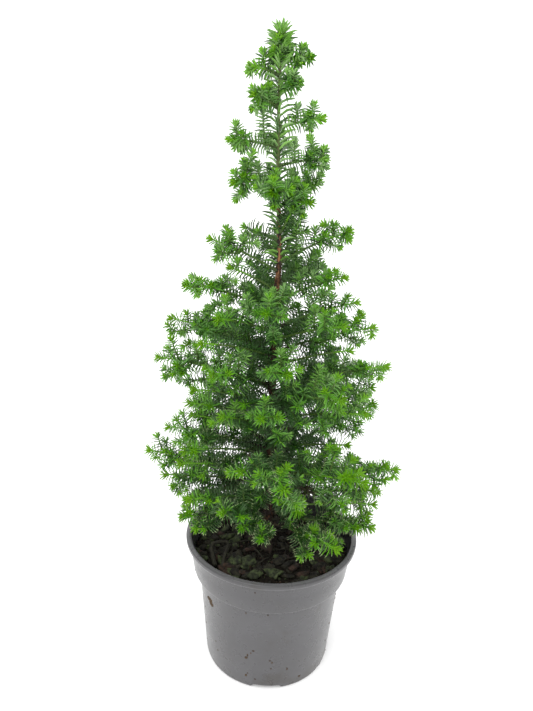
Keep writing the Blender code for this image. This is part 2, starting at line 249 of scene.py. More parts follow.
# Mottled colour, uneven gloss and a fine relief from two noises
def makeGrain():
    group, start = startGroup("mottledGrain", {
        "Colour": (0.5, 0.5, 0.5, 1), "Patches": (0.3, 0.3, 0.3, 1), "Scale": 100.0, "Stretch": (1, 1, 1),
        "Contrast": 1.0, "Balance": 0.5, "Roughness": 0.5, "Spread": 0.1,
    })
    stretch = addNode(group, "VectorMath", operation="MULTIPLY")
    feed(group, addNode(group, "TexCoord").outputs["Object"], stretch.inputs[0])
    feed(group, start["Stretch"], stretch.inputs[1])
    place = stretch.outputs[0]
    finer = calc(group, "MULTIPLY", start["Scale"], 4.3)
    coarse = addNode(group, "TexNoise", Vector=place, Scale=start["Scale"], Detail=5.0).outputs["Fac"]
    fine = addNode(group, "TexNoise", Vector=place, Scale=finer, Detail=4.0).outputs["Fac"]
    centred = calc(group, "SUBTRACT", coarse, 0.5)
    mottle = calc(group, "MULTIPLY_ADD", centred, start["Contrast"], start["Balance"], clamp=True)
    uneven = calc(group, "SUBTRACT", fine, 0.5)
    gloss = calc(group, "MULTIPLY_ADD", uneven, start["Spread"], start["Roughness"], clamp=True)
    colour = mixColours(group, mottle, start["Colour"], start["Patches"])
    relief = calc(group, "MULTIPLY_ADD", fine, 0.4, coarse)
    return endGroup(group, Colour=colour, Roughness=gloss, Relief=relief)


# Dried splashes and dust of soil, thickest at the foot of what they lie on
def makeSoilDust():
    group, start = startGroup("soilDust", {
        "Colour": (0.5, 0.5, 0.5, 1), "Soil": (0.05, 0.035, 0.02, 1), "Amount": 0.3, "Scale": 60.0,
        "Foot": 0.0, "Reach": 0.02,
    })
    place = addNode(group, "TexCoord").outputs["Object"]
    height = addNode(group, "SeparateXYZ", Vector=place).outputs["Z"]
    above = calc(group, "DIVIDE", calc(group, "SUBTRACT", height, start["Foot"]), start["Reach"])
    nearFoot = addNode(group, "MapRange", Value=above, From_Max=1.0, To_Min=1.0, To_Max=0.0).outputs[0]
    splash = addNode(group, "TexNoise", Vector=place, Scale=start["Scale"], Detail=6.0, Roughness=0.62)
    lifted = calc(group, "MULTIPLY_ADD", nearFoot, 0.14, splash.outputs["Fac"])
    spots = addNode(group, "MapRange", Value=lifted, From_Min=0.6, From_Max=0.72).outputs[0]
    mask = calc(group, "MULTIPLY", spots, start["Amount"], clamp=True)
    return endGroup(group, Colour=mixColours(group, mask, start["Colour"], start["Soil"]))


grainGroup = makeGrain()
soilGroup = makeSoilDust()


# Painted light and shade that follow the height, as rows of height and brightness
def paintHeightLightAndShade(graph, colour, rings):
    low, high = rings[0][0], rings[-1][0]
    ramp = addNode(graph, "ValToRGB", Fac=heightShare(graph, low, high))
    stops = ramp.color_ramp.elements
    while len(stops) < len(rings):
        stops.new(0.5)
    for stop, (level, tone) in zip(stops, rings):
        stop.position = (level - low) / (high - low)
        stop.color = (tone, tone, tone, 1)
    return mixColours(graph, 1, colour, ramp.outputs["Color"], "MULTIPLY")


# Gives a material its colour, and the gloss and relief of the grain
def dress(graph, shader, colour, grain, bump, depth):
    relief = addNode(graph, "Bump", Strength=bump, Distance=depth * mm, Height=grain["Relief"])
    graph.links.new(colour, shader.inputs["Base Color"])
    graph.links.new(grain["Roughness"], shader.inputs["Roughness"])
    graph.links.new(relief.outputs["Normal"], shader.inputs["Normal"])


grainNumbers = ("scale", "stretch", "contrast", "balance", "roughness", "spread")
usualFinish = {  # what a finish has unless it gives its own
    "stretch": (1, 1, 1), "contrast": 3.0, "balance": 0.5, "spread": 0.3,
    "shine": 0.5, "bump": 0.5, "depth": 0.3,
}


def grainMaterial(name, finish):
    made, graph, shader = newMaterial(name)
    finish = {**usualFinish, **finish}
    colours = {"Colour": (*finish["colour"], 1), "Patches": (*finish["patches"], 1)}
    grain = placeGroup(graph, grainGroup, **colours, **{key.title(): finish[key] for key in grainNumbers})
    colour = grain["Colour"]
    if "soil" in finish:
        colour = placeGroup(graph, soilGroup, **finish["soil"], Colour=colour)["Colour"]
    # painted light and shade by height, where the finish gives rings
    if "rings" in finish:
        colour = paintHeightLightAndShade(graph, colour, finish["rings"])
    shader.inputs["Specular IOR Level"].default_value = finish["shine"]
    dress(graph, shader, colour, grain, finish["bump"], finish["depth"])
    return made


# Meshes from arrays

def pieceFromArrays(name, points, faces, look, slot, smooth=True):
    mesh = bpy.data.meshes.new(name)
    faces = [np.asarray(block, np.int32) for block in faces if len(block)]
    corners = np.concatenate([block.ravel() for block in faces])
    sizes = np.concatenate([np.full(len(block), block.shape[1]) for block in faces])
    mesh.vertices.add(len(points))
    mesh.vertices.foreach_set("co", (np.asarray(points, np.float64) * mm).astype(np.float32).ravel())
    mesh.loops.add(len(corners))
    mesh.loops.foreach_set("vertex_index", corners)
    mesh.polygons.add(len(sizes))
    mesh.polygons.foreach_set("loop_start", np.concatenate([[0], np.cumsum(sizes)[:-1]]).astype(np.int32))
    mesh.update(calc_edges=True)
    mesh.materials.append(look)
    if smooth:
        mesh.shade_smooth()
    piece = addObject(name, mesh)
    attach(piece, "root")
    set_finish(piece, slot)
    return piece


class Heap:
    # Points and faces of many small shapes, gathered for one joined mesh
    def __init__(self):
        self.points = []
        self.faces = {3: [], 4: []}
        self.count = 0

    def add(self, points, *blocks):
        for block in blocks:
            self.faces[block.shape[1]].append(block + self.count)
        self.points.append(points)
        self.count += len(points)

    def piece(self, name, look, slot, smooth=True):
        blocks = [np.concatenate(found) for found in self.faces.values() if found]
        return pieceFromArrays(name, np.concatenate(self.points), blocks, look, slot, smooth)


def asArray(course):
    return np.array([tuple(point) for point in course])


def unit(rows):
    return rows / np.linalg.norm(rows, axis=1)[:, None]


# How far along a course each of its points is
def lengthsTo(points):
    return np.concatenate([[0], np.cumsum(np.linalg.norm(np.diff(points, axis=0), axis=1))])


# Rows that are known at some lengths, worked out at the wanted ones
def sampled(rows, lengths, wanted):
    return np.stack([np.interp(wanted, lengths, column) for column in rows.T], 1)


def evenTurns(count):
    return np.linspace(0, 2 * math.pi, count, endpoint=False)


def draws(rng, low, high, count):
    return np.array([rng.uniform(low, high) for _ in range(count)])


def ringAt(turns, wide, long, height):
    return np.stack([np.cos(turns) * wide, np.sin(turns) * long, np.broadcast_to(height, len(turns))], 1)


# Rings of points joined by quads, with a point that closes each end
def closedStack(rings, first, last):
    around = len(rings[0])
    ring = np.arange(around)
    beyond = (ring + 1) % around
    count = len(rings) * around
    strip = np.stack([ring, beyond, beyond + around, ring + around], 1)
    quads = np.concatenate([strip + low for low in range(0, count - around, around)])
    tris = np.concatenate([
        np.stack([beyond, ring, np.full(around, count)], 1),
        np.stack([ring + count - around, beyond + count - around, np.full(around, count + 1)], 1),
    ])
    return np.concatenate([*rings, [first], [last]]), quads, tris


# A round tube along points. Relief adds to the radius
def tube(points, radii, sides, relief=None):
    points = asArray(points)
    ahead = unit(np.gradient(points, axis=0))
    side = np.cross(ahead[0], (0.0, 0.0, 1.0) if abs(ahead[0][2]) < 0.9 else (0.0, 1.0, 0.0))
    turns = evenTurns(sides)
    rings = []
    for index, (point, way, radius) in enumerate(zip(points, ahead, radii)):
        side = side - way * side.dot(way)
        side /= np.linalg.norm(side)
        spokes = np.cos(turns)[:, None] * side + np.sin(turns)[:, None] * np.cross(way, side)
        spread = radius if relief is None else radius + relief[index]
        rings.append(point + spokes * np.broadcast_to(spread, (sides,))[:, None])
    return closedStack(rings, points[0], points[-1] + ahead[-1] * radii[-1] * 0.6)


# Pot

pot = {
    "outline": (  # radius and height, from the floor inside, over the lip, to the underside
        (0, 5), (40, 5), (53.2, 5.1), (54.3, 5.6), (54.6, 7), (58, 44), (61.2, 80.5), (61.5, 82.4),
        (62.6, 84.2), (65.6, 86.6), (66.6, 88), (68.4, 101), (70.2, 115.4), (70.5, 116.3), (71.2, 116.8),
        (72, 117), (73.6, 117), (74.4, 116.8), (74.85, 116.3), (75, 115.6), (74.85, 114), (74.75, 113.2),
        (74.5, 112.7), (74.0, 112.5), (72.6, 112.5), (71.8, 112.3), (71.5, 111.6), (69.8, 99.5),
        (68.05, 87.2), (67.7, 86.1), (66.9, 85.2), (63.9, 83.1), (63.0, 82.3), (62.75, 81.2), (59.3, 42),
        (55.9, 2.2), (55.6, 1.0), (54.9, 0.2), (54.0, 0), (30, 0), (0, 0),
    ),
    "wallFrom": 4,  # rows of the outline: where the wall starts inside, the lip, and the outside
    "lipFrom": 13,
    "outsideFrom": 20,
    "rimRadius": 75,
    "steps": 168,
    "warp": 0.12,
    "openings": 4,
    "notchSize": (10, 25, 7),
    "notchRound": 2.2,
    "notchCircle": 55.8,
    "drainRadius": 4.5,
    "drainDepth": 20,
    "drainCircle": 38,
    "sharpFrom": 52,
    "finish": {
        "colour": (0.125, 0.123, 0.132), "patches": (0.1, 0.097, 0.1), "scale": 34.0, "contrast": 1.6,
        "roughness": 0.29, "spread": 0.18, "shine": 0.62, "bump": 0.14, "depth": 0.12,
        "soil": {"Soil": (0.06, 0.048, 0.032, 1), "Amount": 0.45, "Scale": 55.0, "Foot": 0.0, "Reach": 0.03},
        # rings: painted shade under the lip and along its rounded top edge, painted highlight lines on the
        # lip's lower edge and on its flat top
        "rings": (
            (83.0, 0.5), (88.0, 0.45), (107.0, 0.44), (111.4, 0.4), (112.4, 0.36), (112.9, 0.72),
            (113.7, 0.72), (114.1, 0.42), (115.8, 0.42), (116.3, 0.22), (116.88, 0.22), (116.97, 1.1),
            (117.2, 1.1),
        ),
    },
}


def notchCutter():
    shape = bmesh.new()
    bmesh.ops.create_cube(shape, size=mm)
    bmesh.ops.scale(shape, vec=pot["notchSize"], verts=shape.verts)
    upper = [edge for edge in shape.edges if min(end.co.z for end in edge.verts) > 0
             and abs(edge.verts[0].co.y - edge.verts[1].co.y) < 1e-6]
    rounding = pot["notchRound"] * mm
    bmesh.ops.bevel(shape, geom=upper, offset=rounding, segments=4, affect="EDGES", profile=0.5)
    return shape


def drainCutter():
    shape = bmesh.new()
    radius, depth = pot["drainRadius"] * mm, pot["drainDepth"] * mm
    bmesh.ops.create_cone(shape, cap_ends=True, segments=40, radius1=radius, radius2=radius, depth=depth)
    return shape


# Foot notches and drain holes, each drain hole midway between two notches
def cutOpenings(shell):
    cutters = []
    for number in range(pot["openings"]):
        notchTurn = math.radians(360 / pot["openings"] * number - 90)
        drainTurn = notchTurn + math.pi / pot["openings"]
        for shape, turn, circle in (
            (notchCutter(), notchTurn, pot["notchCircle"]),
            (drainCutter(), drainTurn, pot["drainCircle"]),
        ):
            place = Matrix.Rotation(turn, 4, "Z") @ Matrix.Translation((circle * mm, 0, 0))
            bmesh.ops.transform(shape, matrix=place, verts=shape.verts)
            mesh = bpy.data.meshes.new("cutter")
            shape.to_mesh(mesh)
            shape.free()
            cutters.append(addObject("cutter", mesh))
            boolean = shell.modifiers.new("opening", "BOOLEAN")
            boolean.operation = "DIFFERENCE"
            boolean.object = cutters[-1]
    bpy.context.view_layer.update()
    finished = bpy.data.meshes.new_from_object(shell.evaluated_get(bpy.context.evaluated_depsgraph_get()))
    shell.modifiers.clear()
    shell.data = finished
    for cutter in cutters:
        bpy.data.objects.remove(cutter)


def makePot():
    turns = evenTurns(pot["steps"])
    waves = np.sin(2 * turns + 0.6) + 0.5 * np.sin(5 * turns)
    rings = []
    for radius, height in pot["outline"][1:-1]:
        warped = np.minimum(radius + pot["warp"] * radius / pot["rimRadius"] * waves, pot["rimRadius"])
        rings.append(ringAt(turns, warped, warped, height))
    middles = [(0, 0, pot["outline"][row][1]) for row in (0, -1)]
    points, quads, tris = closedStack(rings, *middles)
    faces = [np.roll(quads[:, ::-1], 1, axis=1), tris[:, ::-1]]  # the outline runs from the inside outwards
    shell = pieceFromArrays("potShell", points, faces, grainMaterial("agedPlasticPaintedLight", pot["finish"]), "pot")
    cutOpenings(shell)
    shell.data.shade_smooth()
    shell.data.set_sharp_from_angle(angle=math.radians(pot["sharpFrom"]))
    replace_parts(shell, "pot")


def wallRadius(height):
    outside = [row for row in pot["outline"][pot["outsideFrom"]:] if row[0] > 50]
    radii, heights = zip(*reversed(outside))
    return float(np.interp(height, heights, radii))


makePot()
print("pot turned")


# Crumbs of soil dried onto the pot

potSoil = {
    "marks": (  # azimuth, height, width and length of those that show in front
        (215.8, 71, 10, 5), (217.4, 67.5, 9, 5.4), (252.5, 79, 2.0, 1.4), (268.9, 80.2, 1.5, 1.3),
        (252.4, 31.5, 3.2, 3.6), (253.6, 34.5, 1.8, 3.2), (258.3, 40.5, 2.6, 1.8), (256.4, 37.6, 1.4, 1.6),
        (272.3, 31.5, 2.2, 1.4), (274, 29.5, 1.6, 2.4), (287.2, 20.5, 1.5, 3.4), (252.3, 11.7, 2.6, 3.2),
        (253.8, 14.6, 1.5, 1.9), (273.5, 22.6, 1.2, 2.2), (300, 7.5, 2.4, 2.2), (344.7, 61, 2.4, 3.4),
        (260.1, 106.4, 1.8, 1.0), (220.3, 30, 1.9, 1.9), (260.3, 9.4, 1.9, 1.6), (222.4, 21.7, 1.5, 2.6),
    ),
    "others": 46,
    "otherAzimuths": (-30, 205),
    "otherSizes": (0.5, 1.5),
    "otherHeights": (2.5, 100),
    "thickness": 0.28,
    "finish": {
        "colour": (0.085, 0.055, 0.03), "patches": (0.03, 0.022, 0.014), "scale": 900.0, "roughness": 0.9,
        "bump": 0.7, "depth": 0.2, "shine": 0.2,
    },
}


# A low rounded crumb with an uneven edge
def crumbShape(rng, wide, long, thick, around=9):
    edge = 0.5 * draws(rng, 0.75, 1.1, around)
    rings = []
    for share, height in ((1.0, -0.3), (0.8, 0.55), (0.4, 0.9)):
        lift = height * thick * draws(rng, 0.8, 1.2, around)
        rings.append(ringAt(evenTurns(around), edge * wide * share, edge * long * share, lift))
    return closedStack(rings, (0, 0, -0.3 * thick), (0, 0, thick))


def makePotSoil():
    rng = random.Random(3)
    marks = list(potSoil["marks"])
    lowest, spread = potSoil["otherHeights"]
    for _ in range(potSoil["others"]):
        size = rng.uniform(*potSoil["otherSizes"])
        azimuth = rng.uniform(*potSoil["otherAzimuths"])
        marks.append((azimuth, lowest + spread * rng.random() ** 1.7, size, size * rng.uniform(0.7, 2.0)))
    heap = Heap()
    for azimuth, height, wide, long in marks:
        out = outward(math.radians(azimuth))
        slope = (wallRadius(height + 1) - wallRadius(height - 1)) / 2
        upwards = (out * slope + up).normalized()
        across = upwards.cross(out).normalized()
        basis = np.array([across, upwards, across.cross(upwards).normalized()])
        points, quads, tris = crumbShape(rng, wide, long, potSoil["thickness"])
        centre = out * wallRadius(height) + up * height
        heap.add(points @ basis + np.array(centre), quads, tris)
    heap.piece("driedSoil", grainMaterial("driedSoil", potSoil["finish"]), "compost")


makePotSoil()
print("soil marks placed")


# Compost: a lumpy bed with bark chips, crumbs and bits of twig on it

compost = {
    "ground": 99,
    "bedDrop": 1.6,
    "lump": 1.7,
    "lumpSize": 9,
    "edgeHeight": 97,
    "clear": 0.35,
    "around": 96,
    "circles": 40,
    "chips": 250,
    "chipReach": 66,
    "chipKinds": (0.55, 0.66),  # dark below the first share, reddish below the second, then mossy
    "chipLengths": (6, 19),
    "chipWidths": (0.45, 0.8),  # as shares of the length
    "chipThickness": (1.6, 4),
    "chipLifts": (-0.6, 1.8),
    "chipLean": 0.45,
    "crumbs": 1300,
    "crumbReach": 67,
    "crumbKinds": (0.72, 0.88),
    "crumbSizes": (0.7, 2.6),
    "trunkClear": 8,
    "placedThickness": (2.5, 4),
    "placedLift": 2.4,
    "placedLean": 0.34,
    "placed": (  # x, y, length, width, turn, kind
        (-18.5, -23.5, 15, 12, 20, "mossy"), (-13, -41, 17, 13, 60, "mossy"),
        (1.5, -37, 20, 13, -35, "mossy"), (-28.8, -23, 13, 10, 80, "mossy"),
        (19.5, -28, 15, 8, 55, "reddish"), (-18.4, -4, 14, 6, 40, "reddish"),
        (-35.6, -30, 11, 8, 0, "reddish"), (27, -36, 17, 9, 15, "reddish"), (50, -14, 12, 9, 70, "mossy"),
        (20, 12, 21, 6, 12, "dark"), (-24, -36, 13, 9, -20, "reddish"), (6, -20, 17, 13, 30, "dark"),
    ),
    "root": (
        (-47, -31, 101), (-50, -21, 103), (-52, -13, 105), (-51, -8.5, 106.5), (-45, -6, 107), (-39, -4, 106),
        (-37.5, -8.5, 104.5), (-39.5, -19, 103.5), (-41, -32, 101.5),
    ),
    "rootRadii": (1.9, 1.1),
    "twigs": 26,
    "twigStarts": (12, 60),
    "twigLengths": (8, 20),
    "twigRadii": (0.4, 0.9),
    "twigTip": 0.3,
    "twigLift": 2.0,
    "twigReach": 65,
    "bedFinish": {
        "colour": (0.005, 0.004, 0.003), "patches": (0.016, 0.012, 0.008), "scale": 420.0, "roughness": 0.95,
        "bump": 0.9, "depth": 0.8, "shine": 0.15,
    },
    "chipFinish": {
        "scale": 260.0, "contrast": 5.0, "roughness": 0.75, "bump": 1.0, "depth": 1.4, "shine": 0.26,
    },
    "chipColours": {
        "dark": {"colour": (0.008, 0.007, 0.005), "patches": (0.028, 0.026, 0.015)},
        "reddish": {"colour": (0.052, 0.029, 0.019), "patches": (0.014, 0.01, 0.007)},
        "mossy": {"colour": (0.058, 0.076, 0.029), "patches": (0.013, 0.016, 0.008)},
    },
    "litterFinish": {
        "colour": (0.034, 0.033, 0.02), "patches": (0.016, 0.014, 0.01), "scale": 500.0, "roughness": 0.8,
        "bump": 0.5, "depth": 0.2, "shine": 0.3,
    },
}


# A bark chip: a flat uneven plate with broken edges and a slight bend
def chipShape(rng, long, wide, thick):
    around = rng.randint(5, 9)
    turns = np.sort((np.arange(around) + draws(rng, -0.3, 0.3, around)) / around * 2 * math.pi)
    edge = 0.5 * draws(rng, 0.6, 1.18, around)
    rings = []
    for share, height in ((0.84, -0.5), (1.0, -0.12), (0.97, 0.25), (0.7, 0.5)):
        lift = thick * (height + draws(rng, -0.1, 0.1, around))
        wobble = share * draws(rng, 0.93, 1.05, around)
        rings.append(ringAt(turns, edge * long * wobble, edge * wide * wobble, lift))
    middle = (0, 0, thick * rng.uniform(0.45, 0.75))
    points, quads, tris = closedStack(rings, (0, 0, -0.5 * thick), middle)
    points[:, 2] += rng.uniform(-0.012, 0.02) * points[:, 0] ** 2
    return points, quads, tris


def bedHeight(x, y):
    lumps = noise.fractal(Vector((x, y, 3.0)) / compost["lumpSize"], 1.0, 2.0, 4)
    return compost["ground"] - compost["bedDrop"] + compost["lump"] * lumps


def bedEdge():
    radii, heights = zip(*pot["outline"][pot["wallFrom"]:pot["lipFrom"]])
    return float(np.interp(compost["edgeHeight"], heights, radii)) - compost["clear"]


def spotInDisc(rng, radius):
    reach = radius * math.sqrt(rng.random())
    azimuth = rng.uniform(0, 2 * math.pi)
    return reach * math.cos(azimuth), reach * math.sin(azimuth)


def pickKind(rng, darkBelow, reddishBelow):
    draw = rng.random()
    return "dark" if draw < darkBelow else "reddish" if draw < reddishBelow else "mossy"


def makeBed(edge):
    turns = evenTurns(compost["around"])
    clear = compost["clear"]
    inside = [row for row in pot["outline"][1:pot["lipFrom"]] if row[1] < compost["ground"]]
    rings = [ringAt(turns, radius - clear, radius - clear, height + clear) for radius, height in inside]
    rings.append(ringAt(turns, edge, edge, compost["edgeHeight"]))
    for radius in np.linspace(edge - 1.5, 1.5, compost["circles"]):
        ring = ringAt(turns, radius, radius, 0.0)
        ring[:, 2] = [bedHeight(x, y) for x, y, _ in ring]
        rings.append(ring)
    points, *faces = closedStack(rings, (0, 0, pot["outline"][0][1] + clear), (0, 0, bedHeight(0, 0)))
    look = grainMaterial("compostBed", compost["bedFinish"])
    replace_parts(pieceFromArrays("compostBed", points, faces, look, "compost"), "compost")


# A chip laid on the bed, and pushed in where it would cross the wall
def layChip(rng, edge, x, y, long, wide, thick, turn, lift, lean):
    points, quads, tris = chipShape(rng, long, wide, thick)
    tilt = Matrix.Rotation(math.radians(turn), 3, "Z") @ Matrix.Rotation(rng.uniform(-lean, lean), 3, "X")
    tilt = tilt @ Matrix.Rotation(rng.uniform(-lean, lean), 3, "Y")
    placed = points @ np.array(tilt).T + np.array((x, y, bedHeight(x, y) + lift))
    room = edge - 0.3 + 0.1 * np.maximum(placed[:, 2] - compost["edgeHeight"], 0)
    reach = np.hypot(placed[:, 0], placed[:, 1])
    placed[:, :2] *= np.minimum(1.0, room / np.maximum(reach, 1e-6))[:, None]
    return placed, quads, tris


def layChips(rng, edge):
    heaps = {kind: Heap() for kind in compost["chipColours"]}
    for x, y, long, wide, turn, kind in compost["placed"]:
        thick = rng.uniform(*compost["placedThickness"])
        lift, lean = compost["placedLift"], compost["placedLean"]
        heaps[kind].add(*layChip(rng, edge, x, y, long, wide, thick, turn, lift, lean))
    for _ in range(compost["chips"]):
        x, y = spotInDisc(rng, compost["chipReach"])
        x -= 0.5
        if math.hypot(x + 3, y) < compost["trunkClear"]:
            continue
        kind = pickKind(rng, *compost["chipKinds"])
        long = rng.uniform(*compost["chipLengths"])
        wide = long * rng.uniform(*compost["chipWidths"])
        thick = rng.uniform(*compost["chipThickness"])
        turn, lift = rng.uniform(0, 360), rng.uniform(*compost["chipLifts"])
        heaps[kind].add(*layChip(rng, edge, x, y, long, wide, thick, turn, lift, compost["chipLean"]))
    for _ in range(compost["crumbs"]):
        x, y = spotInDisc(rng, compost["crumbReach"])
        size = rng.uniform(*compost["crumbSizes"])
        points, quads, tris = crumbShape(rng, size, size * rng.uniform(0.6, 1.6), size * 0.5)
        spin = Matrix.Rotation(rng.uniform(0, 6.28), 3, "Z") @ Matrix.Rotation(rng.uniform(-0.7, 0.7), 3, "X")
        kind = pickKind(rng, *compost["crumbKinds"])
        heaps[kind].add(points @ np.array(spin).T + np.array((x, y, bedHeight(x, y) + 0.3)), quads, tris)
    for kind, heap in heaps.items():
        look = grainMaterial(kind + "Bark", {**compost["chipFinish"], **compost["chipColours"][kind]})
        heap.piece(kind + "BarkChips", look, "compost", smooth=False)


def layLitter(rng):
    heap = Heap()
    heap.add(*tube(compost["root"], np.linspace(*compost["rootRadii"], len(compost["root"])), 8))
    for _ in range(compost["twigs"]):
        reach, azimuth = rng.uniform(*compost["twigStarts"]), rng.uniform(0, 2 * math.pi)
        start = Vector((reach * math.cos(azimuth), reach * math.sin(azimuth), 0))
        run = outward(rng.uniform(0, 2 * math.pi)) * rng.uniform(*compost["twigLengths"])
        bend = Vector((-run.y, run.x, 0)) * rng.uniform(-0.2, 0.2)
        course = [start + run * share + bend * math.sin(share * math.pi) for share in np.linspace(0, 1, 7)]
        course = [point for point in course if point.xy.length < compost["twigReach"]]
        if len(course) < 3:
            continue
        for point in course:
            point.z = bedHeight(point.x, point.y) + compost["twigLift"] + rng.uniform(0, 0.4)
        radii = np.linspace(rng.uniform(*compost["twigRadii"]), compost["twigTip"], len(course))
        heap.add(*tube(course, radii, 6))
    heap.piece("twigLitter", grainMaterial("twigLitter", compost["litterFinish"]), "compost")


def makeCompost():
    rng = random.Random(11)
    edge = bedEdge()
    makeBed(edge)
    layChips(rng, edge)
    layLitter(rng)


makeCompost()
print("compost filled")


# Tree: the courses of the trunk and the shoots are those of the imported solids

tree = {
    "ground": 99,
    "top": 521,
    "trunkTip": 500,
    "bends": (  # height and distance to the right
        (99, -3.0), (240, -4.5), (320, -5.0), (357, -3.2), (400, -6.0), (440, -8.0), (475, -8.7), (521, -8.5),
    ),
    "footRadius": 3.6,
    "tipRadius": 1.0,
    "flare": 1.1,
    "flareHeight": 5,
    "gap": 0.3,
    "backShoots": 11,
    "backTop": 470,
    "backFoot": 130,
    "backTurn": 40,
    "backSpread": 52,
    "backRise": 0.2,
    "crownSlope": 0.345,
    "crownTopRadius": 8,
    "crownMostRadius": 100,
    "crownMiddle": -4,
    "boughReach": 97,
    "boughShare": 0.26,
    "boughRadius": 1.7,
    "stemRadius": 1.15,
    "stemTipRadius": 0.52,
    "lowBare": 0.4,  # bare share of the lowest shoots, and of the bough of the long ones
    "boughBare": 0.35,
    "shootBare": 2,
    "arch": 0.07,
    "sweep": 0.05,
    "spaceMargin": 1.6,
    "trunkClearance": 1.2,
    "openingMargin": 1.5,
    "goldenAngle": 137.5,
    "potTop": 117,
    "wallRadius": 67.9,
    "ringStep": 7.6,
    "courseStep": 2.4,
    "tipBare": 7.875,
    "needleReach": 4.2,
    "givenAngle": 66,
    "twigExtra": 3.4,
    "twigRadii": (0.74, 0.5),
    "twigBare": 0.5,
    "twigletRadii": (0.52, 0.42),
    "twigletBare": 0.3,
    "twigletBright": 0.7,
    "twigletsFrom": 21,
    "reachRadii": (0.62, 0.4),
    "reachArch": 0.12,
    "reachVigour": (0.9, 0.8),  # vigour and bright
    "leaderTip": (-8.8, 0, 517),
    "leaderRadii": (1.0, 0.7),
    "leaderVigour": 1.3,
    "leaderTwigs": (  # height, azimuth and length
        (492, 215, 10), (494, -40, 9), (497, 250, 12), (495, 5, 10), (491, 185, 10), (499, 100, 10),
    ),
    "leaderTwigRadii": (0.6, 0.45),
    "leaderTwigVigour": 1.2,
    "fernsBelow": 235,
    "bareBelow": 150,
    "brightAbove": 395,
    "brightLeast": (0.1, 0.5),  # below that height, and above it or where the twigs are given
    "brightRange": (0.5, 1.15),
    "ends": {  # how far the bright ends reach on single shoots, by their height
        474: 0.35, 423: 0.5, 306: 0.6, 176: 1.3, 172: 2.6, 164: 1.7, 148: 2.0, 127: 2.0, 125: 1.4, 124: 1.6,
        119: 1.8,
    },
    "seed": 20,
}

# Side shoots: height, azimuth, reach from the trunk and height of the tip. Where the photo
# shows the side twigs one by one, a list gives share along, roll, length and, if unusual, angle
shoots = (
    (494, 0, 24, 497, ((0.55, 90, 7), (0.3, -70, 8), (0.75, -50, 5))),
    (484, 180, 25, 490, ((0.4, 85, 12), (0.7, -80, 6))),
    (474, -42, 22, 477, ((0.3, 80, 10), (0.5, -40, 9), (0.6, 60, 8), (0.4, 180, 9))),
    (463, 222, 28, 468, ((0.35, 120, 10), (0.5, -90, 13), (0.7, 40, 7), (0.62, 150, 7))),
    (449, -5, 36, 457, ((0.3, 85, 12), (0.62, 85, 11), (0.58, -85, 12, 86), (0.5, 0, 8))),
    (436, 182, 40, 440, (
        (0.2, 88, 25, 71), (0.72, 85, 12, 74), (0.5, -80, 9), (0.66, -60, 8), (0.58, 170, 8),
    )),
    (423, -8, 39, 429, (
        (0.28, 88, 15, 84), (0.62, 85, 8), (0.8, 95, 8), (0.5, -85, 16, 45), (0.5, 0, 9), (0.5, -60, 8),
    )),
    (410, 203, 40, 409, (
        (0.12, 85, 12, 80), (0.34, 80, 13, 80), (0.58, 95, 14, 80), (0.55, -80, 9), (0.75, 60, 8),
        (0.65, 170, 8),
    )),
    (402, 264, 45, 403, (
        (0.3, 170, 18), (0.42, 10, 18), (0.55, 90, 14), (0.66, 190, 13), (0.7, -10, 13), (0.84, 90, 9),
        (0.6, -90, 12),
    )),
    (394, -48, 38, 398, ((0.3, 80, 16), (0.5, 0, 14), (0.6, 90, 11), (0.72, 175, 10), (0.5, -80, 12))),
    (352, 152, 22, 378, ((0.3, -60, 8),)),
    (352, 5, 58, 379, (
        (0.2, 90, 22), (0.45, 88, 12), (0.7, 85, 10), (0.6, -85, 12), (0.8, -75, 8), (0.84, 0, 7),
        (0.5, 10, 12),
    )),
    (345, 187, 57, 370), (322, -18, 58, 346), (315, 195, 74, 337), (306, 263, 64, 324), (280, 2, 84, 304),
    (279, 183, 87, 307), (262, -80, 62, 280), (252, 231, 74, 277), (250, 199, 97, 282), (246, -9, 95, 277),
    (238, -53, 85, 265), (228, 263, 72, 250), (212, 233, 66, 244), (208, 15, 98, 229), (195, 190, 90, 219),
    (176, -83, 86, 202), (172, -44, 100, 203), (166, 181, 108, 191), (164, -3, 112, 184), (146, 4, 96, 155),
    (142, 168, 91, 157), (141, 236, 70, 167),
    (132, 203, 82, 146, (
        (0.2, 90, 8), (0.42, 165, 11), (0.45, 80, 12), (0.56, -158, 24, 50), (0.6, 88, 16), (0.75, -150, 15),
        (0.68, 85, 17), (0.84, 20, 10), (0.5, 0, 14), (0.85, 140, 9),
    )),
    (127, -13, 94, 135),
    (124, -48, 84, 141, (
        (0.4, -51, 29, 37), (0.3, 90, 7), (0.5, 170, 12), (0.62, 90, 8), (0.7, 0, 9), (0.72, 180, 10),
    )),
    (119, -98, 50, 139, ((0.45, 20, 8), (0.6, 160, 8), (0.75, 90, 6), (0.5, 100, 7))),
)

